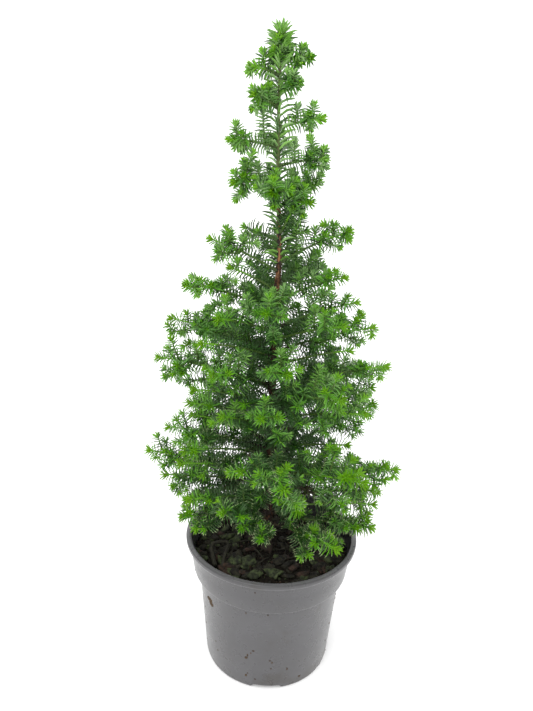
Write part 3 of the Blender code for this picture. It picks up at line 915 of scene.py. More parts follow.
# Lesser shoots between them
fillShoots = (
    (300, 6, 70, 323), (268, -24, 73, 293), (228, 2, 87, 253), (262, 178, 74, 286), (208, 196, 71, 231),
    (160, 192, 94, 177), (138, 195, 77, 155), (136, -12, 94, 157), (350, 22, 20, 392), (336, 60, 40, 352),
    (330, 128, 42, 350), (296, 228, 66, 316), (290, -35, 66, 312), (276, 226, 80, 300), (268, 150, 70, 290),
    (236, 214, 84, 262), (222, -30, 86, 246), (196, -20, 92, 214), (190, 214, 84, 212), (186, 250, 70, 205),
    (318, 100, 50, 336), (282, 62, 62, 300), (244, 118, 74, 264), (214, 78, 80, 234), (186, 140, 86, 206),
    (182, 42, 86, 200), (152, 100, 84, 172), (128, 66, 80, 146), (124, 128, 80, 142), (252, 125, 58, 268),
    (238, 140, 62, 254), (236, 242, 50, 250), (226, 55, 62, 244), (242, -38, 52, 258), (306, 80, 58, 326),
    (344, 96, 44, 364), (366, 70, 34, 384), (262, 88, 70, 280), (206, 108, 82, 224), (170, 84, 84, 188),
    (140, 96, 84, 156), (330, 196, 42, 350), (398, 250, 20, 411), (384, -25, 24, 410), (372, -60, 22, 396),
    (200, 280, 32, 216), (178, 258, 30, 196), (220, 245, 34, 238),
    (148, -72, 72, 177, ((0.45, 10, 10), (0.5, 168, 12), (0.62, 90, 12), (0.7, 15, 10), (0.74, 165, 9))),
    (125, 244, 52, 147, ((0.5, 10, 8), (0.55, 170, 8), (0.7, 60, 6))), (222, 205, 76, 246),
    (176, 205, 84, 196), (150, 212, 80, 168), (180, -32, 82, 198),
)

# Where the photo shows sky between the plumes: x and z in the plane of the trunk, and radius
openings = (
    (22, 447, 5), (-30, 466, 3), (22, 402, 6), (-38, 386, 9), (-21, 388, 4), (37, 354, 5), (-57, 343, 8),
    (-67, 317, 5), (-83, 313, 6), (74, 280, 7), (63, 280, 4), (83, 279, 4), (-78, 245, 4), (-94, 206, 5),
    (73, 200, 8), (84, 201, 5), (98, 191, 5), (88, 187, 4), (33, 167, 3),
)

# Places that the photo shows covered, each reached by a twig from the nearest stem
reached = (
    (-19, 0, 456), (15, -3, 443), (-26, -9, 430), (-32, -9, 424), (16, 33, 420), (-37, -8, 399), (30, 3, 382),
    (16, 3, 377), (-22, 0, 366), (-53, -6, 353), (-35, -10, 353), (-37, -10, 338), (-64, -20, 329),
    (15, 30, 314), (-89, -4, 300), (74, 3, 297), (-78, 3, 281), (82, -4, 264), (75, 3, 259), (-101, -3, 185),
    (102, -6, 177), (-78, 12, 147), (-84, 12, 144), (92, 7, 154), (74, -16, 152),
)


# What all side twigs share
growth = {
    "firstAt": 0.6, "lastBefore": 0.5, "stepRange": (0.9, 1.1), "rollJitter": 12,
    "lengthRange": (0.8, 1.1), "shrink": 0.84,
}
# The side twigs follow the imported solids; lesser ones then fill in between them
twigRule = {
    "step": 10.8, "closest": 6.5, "fewest": 5, "longest": 38, "share": 0.62, "shortest": 7.5,
    "angle": 52, "lift": 0.16, "topLift": 0.45, "beyond": 8.4,
}
infillRule = {
    "step": 10.0, "closest": 8.0, "fewest": 3, "longest": 32, "share": 0.72, "shortest": 6.0,
    "angle": 62, "lift": -0.05, "topLift": 0.8, "beyond": 5.0, "rolls": (70, 125, -20, 95, 190, 30),
}
plumeRule = {
    "step": 9.5, "closest": 8.0, "fewest": 3, "longest": 38, "share": 0.9, "shortest": 7.0,
    "angle": 64, "lift": 0.3, "topLift": 0.95, "beyond": 5.0, "rolls": (90, 150, 60, 15, 120, 75, 195, 100),
}
fernRule = {
    "step": 9.0, "closest": 7.5, "fewest": 3, "longest": 42, "share": 0.9, "shortest": 7.0,
    "angle": 58, "lift": -0.12, "topLift": 0.2, "beyond": 5.0, "rolls": (12, 168, -25, 205, 40, 140, -5, 185),
}
twigletRule = {
    "step": 10.5, "closest": 8.0, "fewest": 2, "longest": 13, "share": 0.5, "shortest": 5.0,
    "angle": 50, "lift": 0.1, "topLift": 0.3, "beyond": 4.0,
}


def trunkAt(height):
    heights, offsets = zip(*tree["bends"])
    return Vector((float(np.interp(height, heights, offsets)), 0, height))


def trunkRadius(height):
    above = max(0.0, height - tree["ground"])
    share = min(above / (tree["trunkTip"] - tree["ground"]), 1.0)
    taper = tree["footRadius"] + (tree["tipRadius"] - tree["footRadius"]) * share
    return taper + tree["flare"] * math.exp(-above / tree["flareHeight"])


def crownRadius(height):
    return min(tree["crownTopRadius"] + tree["crownSlope"] * (tree["top"] - height), tree["crownMostRadius"])


def readShoot(height, azimuth, reach, tipHeight, given=()):
    return height, math.radians(azimuth), reach, tipHeight, given


# The shoots seen in front, and those dealt out behind, from the top down
def shootTable():
    rows = [readShoot(*row) for row in shoots]
    for number, height in enumerate(np.linspace(tree["backTop"], tree["backFoot"], tree["backShoots"])):
        height = float(height)
        turn = math.sin(math.radians(number * tree["goldenAngle"] + tree["backTurn"]))
        reach = crownRadius(height) * (0.86 + 0.14 * min(1.0, (height - 100) / 100))
        azimuth = 90 + tree["backSpread"] * turn
        rows.append(readShoot(height, azimuth, reach, height + tree["backRise"] * reach))
    return sorted(rows, reverse=True)


# A course from root to tip that bends towards the middle
def bent(root, middle, tip, count):
    shares = np.linspace(0, 1, count)
    return [root.lerp(middle, share).lerp(middle.lerp(tip, share), share) for share in shares]


def shootCourse(row, number):
    height, azimuth, reach, tipHeight = row[:4]
    rng = random.Random(tree["seed"] * 100 + number)
    out = outward(azimuth)
    side = Vector((-out.y, out.x, 0))
    root = trunkAt(height)
    tip = Vector((root.x, root.y, tipHeight)) + out * reach
    length = (tip - root).length
    middle = (root + tip) / 2 + up * tree["arch"] * length
    middle += side * rng.uniform(-tree["sweep"], tree["sweep"]) * length
    ahead = (middle - root).normalized()
    startRadius = tree["boughRadius"] if reach >= tree["boughReach"] else tree["stemRadius"]
    skin = trunkRadius(height) + tree["gap"] + startRadius * abs(ahead.z)
    root = root + ahead * skin / max(0.3, math.sqrt(1 - ahead.z * ahead.z))
    return bent(root, middle, tip, max(5, round(length / 3)))


def along(course, start, end, count):
    points = asArray(course)
    return [Vector(row) for row in sampled(points, lengthsTo(points), np.linspace(start, end, count))]


def lengthOf(course):
    return sum((after - before).length for before, after in zip(course, course[1:]))


class Space:
    # How near a point is to the shoot's own course, to all the others, and to the pot
    def __init__(self, courses, owner):
        self.own = self.grove([courses[owner]])
        self.others = self.grove([course for key, course in courses.items() if key != owner])

    @staticmethod
    def grove(courses):
        points = [point for course in courses for point in along(course, 0, lengthOf(course), 60)]
        found = KDTree(len(points))
        for index, point in enumerate(points):
            found.insert(point, index)
        found.balance()
        return found

    def holds(self, point):
        if self.own.find(point)[2] + tree["spaceMargin"] > self.others.find(point)[2]:
            return False
        trunk = trunkAt(min(point.z, tree["top"]))
        clear = trunkRadius(point.z) + tree["trunkClearance"]
        if point.z < tree["trunkTip"] and math.hypot(point.x - trunk.x, point.y - trunk.y) < clear:
            return False
        if point.z > tree["potTop"] + tree["spaceMargin"]:
            return True
        room = tree["wallRadius"] - 2 * tree["spaceMargin"]
        return point.z > tree["ground"] + tree["spaceMargin"] and math.hypot(point.x, point.y) < room


# Where a stem is at a mark, its direction there, and a level direction turned about it
def joint(stem, mark, beyond, turn):
    root, after = along(stem, mark, beyond, 2)
    ahead = (after - root).normalized()
    side = Matrix.Rotation(math.radians(turn), 3, ahead) @ ahead.cross(up).normalized()
    return root, ahead, side


def twigCourse(root, ahead, side, length, rule, angle=None):
    lean = math.radians(angle or rule["angle"])
    way = ahead * math.cos(lean) + side * math.sin(lean)
    share = (root.z - tree["ground"]) / (tree["top"] - tree["ground"])
    lift = rule["lift"] + (rule["topLift"] - rule["lift"]) * share
    tip = root + (way + up * lift).normalized() * length
    return bent(root, root + way * length * 0.5, tip, max(2, round(length / tree["ringStep"])) + 1)


# Twigs along a stem, each shortened until its course has room
def growTwigs(stem, start, space, rng, rule):
    whole = lengthOf(stem)
    step = max(rule["closest"], min(rule["step"], whole / rule["fewest"]))
    grown = []
    turn = rng.uniform(0, 360)
    mark = start + growth["firstAt"] * step
    while mark < whole - growth["lastBefore"] * step:
        if "rolls" in rule:
            roll = rule["rolls"][len(grown) % len(rule["rolls"])]
            turn = rng.uniform(-growth["rollJitter"], growth["rollJitter"]) - roll
        root, ahead, side = joint(stem, mark, min(mark + 1, whole), turn)
        longest = min(rule["longest"], rule["share"] * (whole - mark) + rule["shortest"])
        length = longest * rng.uniform(*growth["lengthRange"])
        while length > rule["shortest"]:
            course = twigCourse(root, ahead, side, length, rule)
            tip = course[-1] + (course[-1] - course[-2]).normalized() * rule["beyond"]
            if all(space.holds(point) for point in course[1:] + [tip]):
                grown.append(course)
                break
            length *= growth["shrink"]
        turn += tree["goldenAngle"]
        mark += step * rng.uniform(*growth["stepRange"])
    return grown


def givenTwigs(stem, rows):
    whole = lengthOf(stem)
    grown = []
    for share, roll, length, *angle in rows:
        root, ahead, side = joint(stem, share * whole, share * whole + 1, -roll)
        grown.append(twigCourse(root, ahead, side, length, twigRule, *angle or [tree["givenAngle"]]))
    return grown


# A course made a little longer along its own end, and smoother
def drawnOut(course, extra):
    longer = list(course) + [course[-1] + (course[-1] - course[-2]).normalized() * extra]
    whole = lengthOf(longer)
    return along(longer, 0, whole, max(4, round(whole / tree["courseStep"])))


# A course up to where it enters an opening, as seen along the line of sight
def clipped(course):
    eye = Vector(studio["cameraPlace"])
    for index, point in enumerate(course):
        for x, z, radius in openings:
            sight = (Vector((x, 0, z)) - eye).normalized()
            if (point - eye).cross(sight).length < radius + tree["openingMargin"]:
                return course[:index]
    return course


# Twigs from the nearest stems out to the places listed as covered
def reachTwigs(grown):
    stems = [point for sprig in grown if sprig["order"] < 3 for point in sprig["course"][1:-1]]
    for place in reached:
        target = Vector(place)
        root = min(stems, key=lambda point: (point - target).length + 0.5 * max(0.0, point.z - target.z))
        reach = target - root
        yield bent(root, root + reach * 0.5 + up * tree["reachArch"] * reach.length, target, 5)


# Every stem and twig as a sprig. Order 0 is the leader, 1 a shoot, 2 a twig and 3 a twiglet.
# Vigour and bright both lengthen the young, light green end
def growSprigs():
    rows = dict(enumerate(shootTable(), start=1))
    courses = {number: shootCourse(row, number) for number, row in rows.items()}
    courses["leader"] = [trunkAt(tree["trunkTip"]) + up * tree["gap"], Vector(tree["leaderTip"])]
    filling = {number: readShoot(*row) for number, row in enumerate(fillShoots, start=101)}
    fillers = {number: shootCourse(row, number) for number, row in filling.items()}
    grown = []

    def add(course, radii, order, bare, vigour, bright=1.0):
        if order > 1:
            course = clipped(course)
            if len(course) < 2 or lengthOf(course) < 3:
                return
        grown.append({
            "course": course, "radii": radii, "order": order,
            "bare": bare, "vigour": vigour, "bright": bright,
        })

    for number, row in {**rows, **filling}.items():
        every = {**courses, **fillers} if number in fillers else courses
        space = Space(every, number)
        rng = random.Random(tree["seed"] * 1000 + number)
        lesser = random.Random(number)
        course = every[number]
        whole = lengthOf(course)
        long = row[2] >= tree["boughReach"]
        start = tree["boughShare"] * whole + tree["gap"] if long else 0.0
        stem = along(course, start, whole, max(6, round((whole - start) / 3)))
        count = max(3, round((lengthOf(stem) - tree["tipBare"]) / tree["ringStep"]) + 1)
        stem = along(stem, 0, lengthOf(stem) - tree["tipBare"], count)
        for _ in range(4 * (count - 2)):  # the solids drew these numbers for their needles before any twig
            rng.random()
        vigour = lesser.uniform(0.75, 1.25) * tree["ends"].get(row[0], 1.0)
        end = whole - tree["needleReach"]
        main = along(course, 0, end, max(6, round(end / tree["courseStep"])))
        if number in fillers or course[-1].y > 5:
            main = clipped(main)
            if len(main) < 4:
                continue
            reach = lengthOf(main)
            stem = [point for point in stem if (point - main[0]).length < reach]
        radius = tree["boughRadius"] if long else tree["stemRadius"]
        bare = tree["boughBare"] * start if long else tree["shootBare"]
        if row[0] < tree["bareBelow"]:
            bare = tree["lowBare"] * whole
        add(main, (radius, tree["stemTipRadius"]), 1, bare, vigour)
        twigs = givenTwigs(course, row[4])
        if number in fillers and not twigs:
            rule = fernRule if row[0] < tree["fernsBelow"] else plumeRule
            twigs = [drawnOut(twig, 1) for twig in growTwigs(stem, 2, space, lesser, rule)]
        elif not twigs:
            twigs = [drawnOut(twig, tree["twigExtra"]) for twig in growTwigs(stem, 2, space, rng, twigRule)]
            twigs += [drawnOut(twig, 1) for twig in growTwigs(stem, 2, space, lesser, infillRule)]
        ahead = (course[-1] - course[0]).normalized()
        for twig in twigs:
            far = (twig[0] - course[0]).dot(ahead) / whole
            least = tree["brightLeast"][bool(row[4]) or twig[0].z > tree["brightAbove"]]
            bright = min(1.0, max(least, 3.0 * far - 1.6)) * lesser.uniform(*tree["brightRange"])
            add(twig, tree["twigRadii"], 2, tree["twigBare"], vigour, bright)
            if lengthOf(twig) < tree["twigletsFrom"]:
                continue
            for twiglet in growTwigs(twig, 3, space, lesser, twigletRule):
                dimmed = bright * tree["twigletBright"]
                add(drawnOut(twiglet, 1), tree["twigletRadii"], 3, tree["twigletBare"], vigour, dimmed)
    for course in list(reachTwigs(grown)):
        add(drawnOut(course, 1), tree["reachRadii"], 2, tree["twigletBare"], *tree["reachVigour"])
    leader = courses["leader"]
    leader = along(leader, 0, lengthOf(leader) - tree["needleReach"], 8)
    add(leader, tree["leaderRadii"], 0, 0, tree["leaderVigour"])
    for height, azimuth, length in tree["leaderTwigs"]:
        root, out = trunkAt(height), outward(math.radians(azimuth))
        middle = root + out * length * 0.35 + up * length * 0.5
        tip = root + out * length * 0.55 + up * length * 0.85
        add([root, middle, tip], tree["leaderTwigRadii"], 2, tree["twigletBare"], tree["leaderTwigVigour"])
    return grown


sprigs = growSprigs()
stemLength = sum(lengthOf(sprig["course"]) for sprig in sprigs)
print("sprigs grown:", len(sprigs), "with", round(stemLength / 1000, 1), "m of stem")


# Bark

bark = {
    "ringStep": 0.9,
    "sides": 30,
    "sunk": 4,
    "ridge": 0.75,
    "oldBelow": 380,
    "oldOver": 120,
    "lobeHeight": 7,
    "flakes": 560,
    "flakeTop": 352,
    "flakeLengths": (1.5, 6),
    "flakeWidths": (0.6, 1.7),
    "flakeCurls": (0.15, 1.6),
    "flakeThickness": 0.12,
    "boughStart": 0.35,  # share of the way from the trunk's middle to its skin
    "boughStep": 1.6,
    "boughSides": 10,
    "boughRelief": 0.16,
    "boughCollar": 0.9,
    "collarLength": 2.5,
    "stemOverlap": 0.3,
    "boughShares": ((150, 300), (0.34, 0.12)),  # height of a shoot, and how much of it is bark
    "leastBark": 4.0,
    "stemStep": 2.6,
    "freshEnds": (14, 17, 12, 5),  # light green ends of the leader, shoots, twigs and twiglets
    "mostFresh": 0.6,
    "trunkTones": {
        "brown": (0.022, 0.013, 0.009, 1), "low": (0.035, 0.02, 0.012, 1), "orange": (0.27, 0.12, 0.048, 1),
        "olive": (0.09, 0.115, 0.034, 1), "youngFrom": 388, "youngAt": 412,
    },
    "boughTones": {
        "brown": (0.024, 0.024, 0.012, 1), "low": (0.055, 0.045, 0.02, 1), "orange": (0.055, 0.045, 0.02, 1),
        "olive": (0.05, 0.085, 0.02, 1), "youngFrom": 290, "youngAt": 360,
    },
    "orangeFrom": 170,
    "orangeAt": 270,
    "grain": {
        "Scale": 420.0, "Stretch": (1, 1, 0.36), "Contrast": 9.0, "Balance": 0.1,
        "Roughness": 0.8, "Spread": 0.3,
    },
    "soil": {"Soil": (0.03, 0.022, 0.014, 1), "Amount": 0.85, "Scale": 180.0, "Foot": 0.099, "Reach": 0.14},
    "flakeFinish": {
        "colour": (0.2, 0.09, 0.038), "patches": (0.022, 0.013, 0.009), "scale": 700.0,
        "stretch": (1, 1, 0.3), "balance": 0.7, "roughness": 0.8, "bump": 0.5, "depth": 0.2, "shine": 0.3,
    },
    "greenFinish": {
        "colour": (0.068, 0.165, 0.016), "patches": (0.07, 0.105, 0.02), "scale": 260.0, "contrast": 2.2,
        "roughness": 0.6, "bump": 0.4, "depth": 0.15,
    },
    "freshFinish": {
        "colour": (0.15, 0.38, 0.012), "patches": (0.11, 0.29, 0.012), "scale": 260.0, "contrast": 2.2,
        "roughness": 0.5, "bump": 0.3, "depth": 0.1,
    },
}


# Reddish brown and fibrous low down, olive green where the stem is young
def barkMaterial(name, tones):
    made, graph, shader = newMaterial(name)
    raised = heightShare(graph, bark["orangeFrom"], bark["orangeAt"])
    patches = mixColours(graph, raised, tones["low"], tones["orange"])
    grain = placeGroup(graph, grainGroup, Colour=tones["brown"], Patches=patches, **bark["grain"])
    young = heightShare(graph, tones["youngFrom"], tones["youngAt"])
    colour = mixColours(graph, young, grain["Colour"], tones["olive"])
    dusty = placeGroup(graph, soilGroup, **bark["soil"], Colour=colour)["Colour"]
    dress(graph, shader, dusty, grain, 0.8, 0.4)
    return made


# Ridges along the old bark, and the lobes of the root flare
def trunkRelief(height, angle):
    old = min(1.0, max(0.12, (bark["oldBelow"] - height) / bark["oldOver"]))
    nearFoot = math.exp(-max(0.0, height - tree["ground"]) / bark["lobeHeight"])
    ridge = noise.fractal(Vector((math.cos(angle) * 2.3, math.sin(angle) * 2.3, height * 0.16)), 0.8, 2.1, 4)
    fine = noise.noise(Vector((math.cos(angle) * 6, math.sin(angle) * 6, height * 0.9)))
    lobe = 0.9 * nearFoot * math.cos(5 * angle + 0.7) + 0.5 * nearFoot * math.cos(3 * angle)
    return bark["ridge"] * old * (ridge + 0.3 * fine) + lobe


def makeTrunk():
    foot, top = tree["ground"] - bark["sunk"], tree["trunkTip"] + 2
    heights = np.linspace(foot, top, round((top - foot) / bark["ringStep"]))
    turns = evenTurns(bark["sides"])
    relief = np.array([[trunkRelief(height, turn) for turn in turns] for height in heights])
    middles = [trunkAt(height) for height in heights]
    radii = [trunkRadius(height) for height in heights]
    points, *faces = tube(middles, radii, bark["sides"], relief)
    look = barkMaterial("cedarBark", bark["trunkTones"])
    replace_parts(pieceFromArrays("trunkBark", points, faces[::-1], look, "bark"), "trunk")


# Thin strips of bark that stand off the trunk, five rows of three points on each face
def makeFlakes():
    rng = random.Random(5)
    heap = Heap()
    thick = bark["flakeThickness"]
    face = np.array([(cell, cell + 1, cell + 4, cell + 3) for cell in (0, 1, 3, 4, 6, 7, 9, 10)])
    edge = [0, 3, 6, 9, 12, 13, 14, 11, 8, 5, 2, 1]
    rim = np.array([(here + 15, after + 15, after, here) for here, after in zip(edge, edge[1:] + edge[:1])])
    for _ in range(bark["flakes"]):
        height = rng.uniform(tree["ground"] + 3, bark["flakeTop"])
        out = outward(rng.uniform(0, 2 * math.pi))
        across = Vector((-out.y, out.x, 0))
        long, wide = rng.uniform(*bark["flakeLengths"]), rng.uniform(*bark["flakeWidths"])
        curl = rng.uniform(*bark["flakeCurls"])
        rows = []
        for share in np.linspace(0, 1, 5):
            z = height + long * (share - 0.5)
            middle = trunkAt(z) + out * (trunkRadius(z) + thick + curl * abs(share - 0.35) ** 2 * 2)
            half = wide / 2 * (0.5 + 1.6 * share * (1 - share) + rng.uniform(-0.1, 0.1))
            rows += [middle - across * half, middle + out * 0.14, middle + across * half]
        outside = asArray(rows)
        inside = outside - np.array(out) * thick
        heap.add(np.concatenate([outside, inside]), face, face[:, ::-1] + 15, rim)
    heap.piece("barkFlakes", grainMaterial("barkFlakes", bark["flakeFinish"]), "bark")


# Each shoot's inner length in bark, from inside the trunk, and the rest green
def makeStems():
    boughs, older, fresh = Heap(), Heap(), Heap()
    overlap = bark["stemOverlap"]
    for sprig in sprigs:
        course = list(sprig["course"])
        start, end = sprig["radii"]
        cut = overlap
        if sprig["order"] == 1:
            whole = lengthOf(course)
            course = [trunkAt(course[0].z).lerp(course[0], bark["boughStart"])] + course
            cut = max(bark["leastBark"], float(np.interp(course[0].z, *bark["boughShares"])) * whole)
            inner = along(course, 0, cut, max(5, round(cut / bark["boughStep"])))
            shares = np.linspace(0, cut / whole, len(inner))
            radii = start + (end - start) * shares
            radii = radii + bark["boughCollar"] * np.exp(-shares * whole / bark["collarLength"])
            spokes = [(4 * math.cos(turn), 4 * math.sin(turn)) for turn in evenTurns(bark["boughSides"])]
            relief = bark["boughRelief"] * np.array([
                [noise.noise(Vector((*spoke, ring * 0.5))) for spoke in spokes] for ring in range(len(inner))
            ])
            boughs.add(*tube(inner, radii, bark["boughSides"], relief))
        whole = lengthOf(course)
        young = bark["freshEnds"][sprig["order"]] * sprig["vigour"] * sprig["bright"]
        young = min(young, bark["mostFresh"] * (whole - cut))
        meeting = whole - young
        for heap, low, high in ((older, cut - overlap, meeting), (fresh, meeting - overlap, whole)):
            part = along(course, low, high, max(3, round((high - low) / bark["stemStep"])))
            radii = start + (end - start) * np.linspace(low / whole, high / whole, len(part))
            heap.add(*tube(part, radii, 7 if sprig["order"] < 2 else 5))
    limbs = boughs.piece("boughBark", barkMaterial("boughBark", bark["boughTones"]), "bark")
    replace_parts(limbs, *[name for name in nodeNames if name.startswith("bough_")])
    stems = older.piece("greenStems", grainMaterial("greenStems", bark["greenFinish"]), "foliage")
    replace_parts(stems, *[name for name in nodeNames if "foliage" in name])
    fresh.piece("freshStems", grainMaterial("freshStems", bark["freshFinish"]), "foliage")


makeTrunk()
makeFlakes()
makeStems()
print("bark and stems made")


# Needles: opposite pairs, each pair turned a quarter from the last

needles = {
    "pairStep": 1.32,
    "tipStep": 0.28,
    "tipZone": 8.0,
    "lengths": (11.0, 9.2, 8.5, 7.2),  # on the leader, shoots, twigs and twiglets
    "width": 1.05,
    "stations": ((0.0, 0.8), (0.42, 1.0), (0.78, 0.66), (1.0, 0.0)),  # shares of length and of width
    "keel": 0.85,
    "twist": 0.3,
    "lean": 64,
    "tipCurl": 16,
    "curl": 50,
    "droop": 0.05,
    "turnJitter": 0.06,
    "leanJitter": 3.5,
    "curlJitter": 6,
    "sizeRange": (0.86, 1.1),
    "leaderTipSize": 0.62,
    "toneEnds": (0.6, 1.5, 3.4),  # depths at which tip, fresh and leafy needles end
    "zones": (3.8, 5.6, 3.8, 3.8),  # unit of the tones' depth on the leader, shoots, twigs and twiglets
    # painted shade of the inner crown: within these shares of the crown's radius the needles are one or two
    # tones deeper
    "innerShadeWithin": (0.5, 0.28),  # shares of the crown's radius within which it is one or two tones deeper
    "bluishShares": (0.35, 0.6),  # chance that a sprig's deep needles are bluish, below and above a height
    "bluishAbove": 370,
    "topFrom": 400,
    "topBluishShare": 0.3,
    "paleBelow": (150, 215),  # height below which ends are pale, and the same for a share of the sprigs
    "paleShare": 0.3,
    "paleEnds": (0.34, 0.44, 0.2),
    "witheredBelow": 240,
    "witheredShare": 0.03,
    "trunkFrom": 352,
    "trunkStep": 2.3,
    "leaderStep": 0.55,
    "leaderSpan": (489, 514.5),
    "trunkLength": 15.5,
    "trunkSizeRange": (0.82, 1.06),
    "trunkCurl": (64, 30),  # low down and at the trunk's tip
    "trunkWidth": 1.95,
    "trunkTones": ((3, 4, 6), (0.35, 0.4, 0.25)),  # tones by their place in greens, and their shares
    "leaderTones": ((2, 3, 4), (0.4, 0.35, 0.25)),
    "leaderTonesFrom": 492,
    "grain": {"Scale": 190.0, "Contrast": 2.0, "Roughness": 0.42, "Spread": 0.25},
    "patchShade": 0.72,
    "tipShine": 0.2,
    "shine": 0.45,
    "most": 19000,  # blades in one piece
}

# Heights, and a value at each, for what changes from the foot of the crown to its top
byHeight = {
    "spacing": ((320, 400, 430, 450), (1.0, 0.76, 0.76, 0.84)),
    "tipLean": ((220, 420), (30, 14)),
    "tipSize": ((220, 400), (0.56, 0.48)),
    "size": ((230, 260, 340, 370, 425), (1.08, 1.0, 1.0, 1.1, 1.02)),
    "leaderSize": ((385, 430), (1.0, 1.08)),
    "shootSize": ((385, 430), (1.0, 0.98)),
    "twigSize": ((385, 430), (1.0, 0.88)),
    "zone": ((380, 430), (1.0, 0.75)),
    "depth": ((400, 440), (0, 0.3)),
    "width": ((145, 200, 340, 440, 500), (0.98, 0.78, 0.92, 1.14, 1.5)),
    "shadedWithin": ((200, 235, 300, 380, 400), (0.5, 0.38, 0.22, 0.14, 0)),
    "dimChance": ((190, 230, 300, 400, 440), (0.42, 0.24, 0.18, 0.2, 0.18)),
    "trunkLean": ((470, 497, 503, 509, 514), (42, 38, 50, 40, 14)),
    "trunkSize": ((470, 496, 503, 509, 514), (1.0, 0.74, 0.92, 0.78, 0.56)),
    "trunkWidth": ((488, 494), (1.0, 0.75)),
}

# Colour of the upper face and of the paler underside, from the shoot tips inwards
greens = {
    "tip": ((0.148, 0.365, 0.006), (0.168, 0.375, 0.016)),
    "fresh": ((0.12, 0.36, 0.01), (0.145, 0.37, 0.025)),
    "leafy": ((0.14, 0.4, 0.024), (0.18, 0.41, 0.055)),
    "deep": ((0.138, 0.395, 0.034), (0.205, 0.42, 0.085)),
    "bluish": ((0.155, 0.375, 0.075), (0.255, 0.445, 0.15)),
    "withered": ((0.08, 0.06, 0.032), (0.1, 0.08, 0.05)),
    "shaded": ((0.032, 0.115, 0.012), (0.092, 0.185, 0.058)),
}


def needleMaterial(name, top, under, shine):
    made, graph, shader = newMaterial(name + "Needle")
    darker = [part * needles["patchShade"] for part in top]
    grain = placeGroup(graph, grainGroup, Colour=(*top, 1), Patches=(*darker, 1), **needles["grain"])
    back = addNode(graph, "NewGeometry").outputs["Backfacing"]
    colour = mixColours(graph, back, grain["Colour"], (*under, 1))
    shader.inputs["Specular IOR Level"].default_value = shine
    dress(graph, shader, colour, grain, 0.25, 0.1)
    return made


def valueAt(name, height):
    return np.interp(height, *byHeight[name])


# Marks along a stem, closer towards its tip
def pairMarks(whole, bare, step):
    marks = []
    mark = whole - 0.2
    while mark > bare:
        marks.append(mark)
        share = min(1.0, (whole - mark) / needles["tipZone"])
        mark -= needles["tipStep"] + (step - needles["tipStep"]) * share
    return np.array(marks)


# Each turn, and the one across from it
def opposite(turns):
    return np.stack([turns, turns + math.pi], 1).ravel()


# How far out a point is, as a share of the crown's radius at its height
def crownShare(point):
    return math.hypot(point.x - tree["crownMiddle"], point.y) / crownRadius(point.z)


# Where the needles of a sprig stand, their directions and how far from its tip they are
def needlePlaces(sprig, rng):
    course = asArray(sprig["course"])
    lengths = lengthsTo(course)
    whole = lengths[-1]
    marks = pairMarks(whole, sprig["bare"], needles["pairStep"] * valueAt("spacing", course[0][2]))
    if not len(marks):
        return None
    count = len(marks)
    roots = sampled(course, lengths, marks)
    ways = unit(sampled(np.gradient(course, axis=0), lengths, marks))
    level = np.cross(ways, (0.0, 0.0, 1.0))
    upright = np.linalg.norm(level, axis=1) < 0.25
    level[upright] = np.cross(ways[upright], (0.0, 1.0, 0.0))
    level = unit(level)
    other = np.cross(level, ways)
    tipZone, jitter = min(needles["tipZone"], max(4.0, 0.5 * whole)), needles["turnJitter"]
    nearTip = np.clip(1 - (whole - marks) / tipZone, 0, 1)
    turns = rng.uniform(-0.3, 0.3) + np.arange(count) * (math.pi / 2 + 0.008) + np.cumsum(0.5 * nearTip)
    turns += rng.normal(0, jitter, count)
    turns = opposite(turns) + rng.normal(0, jitter, 2 * count)
    roots, ways, level, other = (np.repeat(block, 2, axis=0) for block in (roots, ways, level, other))
    outs = np.cos(turns)[:, None] * level + np.sin(turns)[:, None] * other
    fromTip = np.repeat(whole - marks, 2)
    start, end = sprig["radii"]
    thick = start + (end - start) * (1 - fromTip / max(whole, 1e-6))
    return roots + outs * (thick * 0.7)[:, None], ways, outs, fromTip, np.clip(fromTip / tipZone, 0, 1)


def needleSizes(sprig, share, rng):
    count, height, order = len(share), sprig["course"][0].z, sprig["order"]
    tipLean = valueAt("tipLean", height)
    lean = tipLean + (needles["lean"] - tipLean) * share
    lean = np.radians(lean + rng.normal(0, needles["leanJitter"], count))
    curl = needles["tipCurl"] + (needles["curl"] - needles["tipCurl"]) * share
    curl = np.radians(curl + rng.normal(0, needles["curlJitter"], count))
    least = valueAt("tipSize", height) if order else needles["leaderTipSize"]
    size = needles["lengths"][order] * (least + (1 - least) * share)
    size *= rng.uniform(*needles["sizeRange"], count)
    size *= valueAt("size", height)
    size *= valueAt(("leaderSize", "shootSize", "twigSize", "twigSize")[order], height)
    return size, lean, curl


# Light at the tips, deeper inwards, and one or two tones deeper still inside the crown as painted shade;
# shaded or withered near the trunk
def needleTones(sprig, fromTip, rng):
    first, last = sprig["course"][0], sprig["course"][-1]
    count, height, inner = len(fromTip), first.z, crownShare(last)
    zone = needles["zones"][sprig["order"]]
    zone *= valueAt("zone", height) * sprig["vigour"] * sprig["bright"] * (0.3 + 0.7 * min(1.0, inner) ** 2)
    depth = fromTip / zone * rng.uniform(0.85, 1.15, count) + valueAt("depth", height)
    # painted shade: sprigs that end inside the crown are one or two tones deeper
    once, twice = needles["innerShadeWithin"]
    deeper = 2 if inner < twice and height < needles["topFrom"] else 1 if inner < once else 0
    _, _, leafy, deep, bluish, withered, shaded = range(len(greens))
    tone = np.minimum(np.searchsorted(needles["toneEnds"], depth) + deeper, deep)
    if rng.random() < needles["bluishShares"][height >= needles["bluishAbove"]]:
        tone = np.where(tone == deep, bluish, tone)
    if height > needles["topFrom"] and rng.random() < needles["topBluishShare"]:
        tone = np.where(tone == leafy, bluish, tone)
    if crownShare(first) < valueAt("shadedWithin", height):
        tone = np.where(tone > leafy, shaded, tone)
    dim = rng.random(count) < valueAt("dimChance", height)
    tone = np.where(dim & (tone > 1), shaded, tone)
    if inner < 0.4 and height < needles["witheredBelow"] and rng.random() < needles["witheredShare"]:
        tone = np.full(count, withered)
    return tone


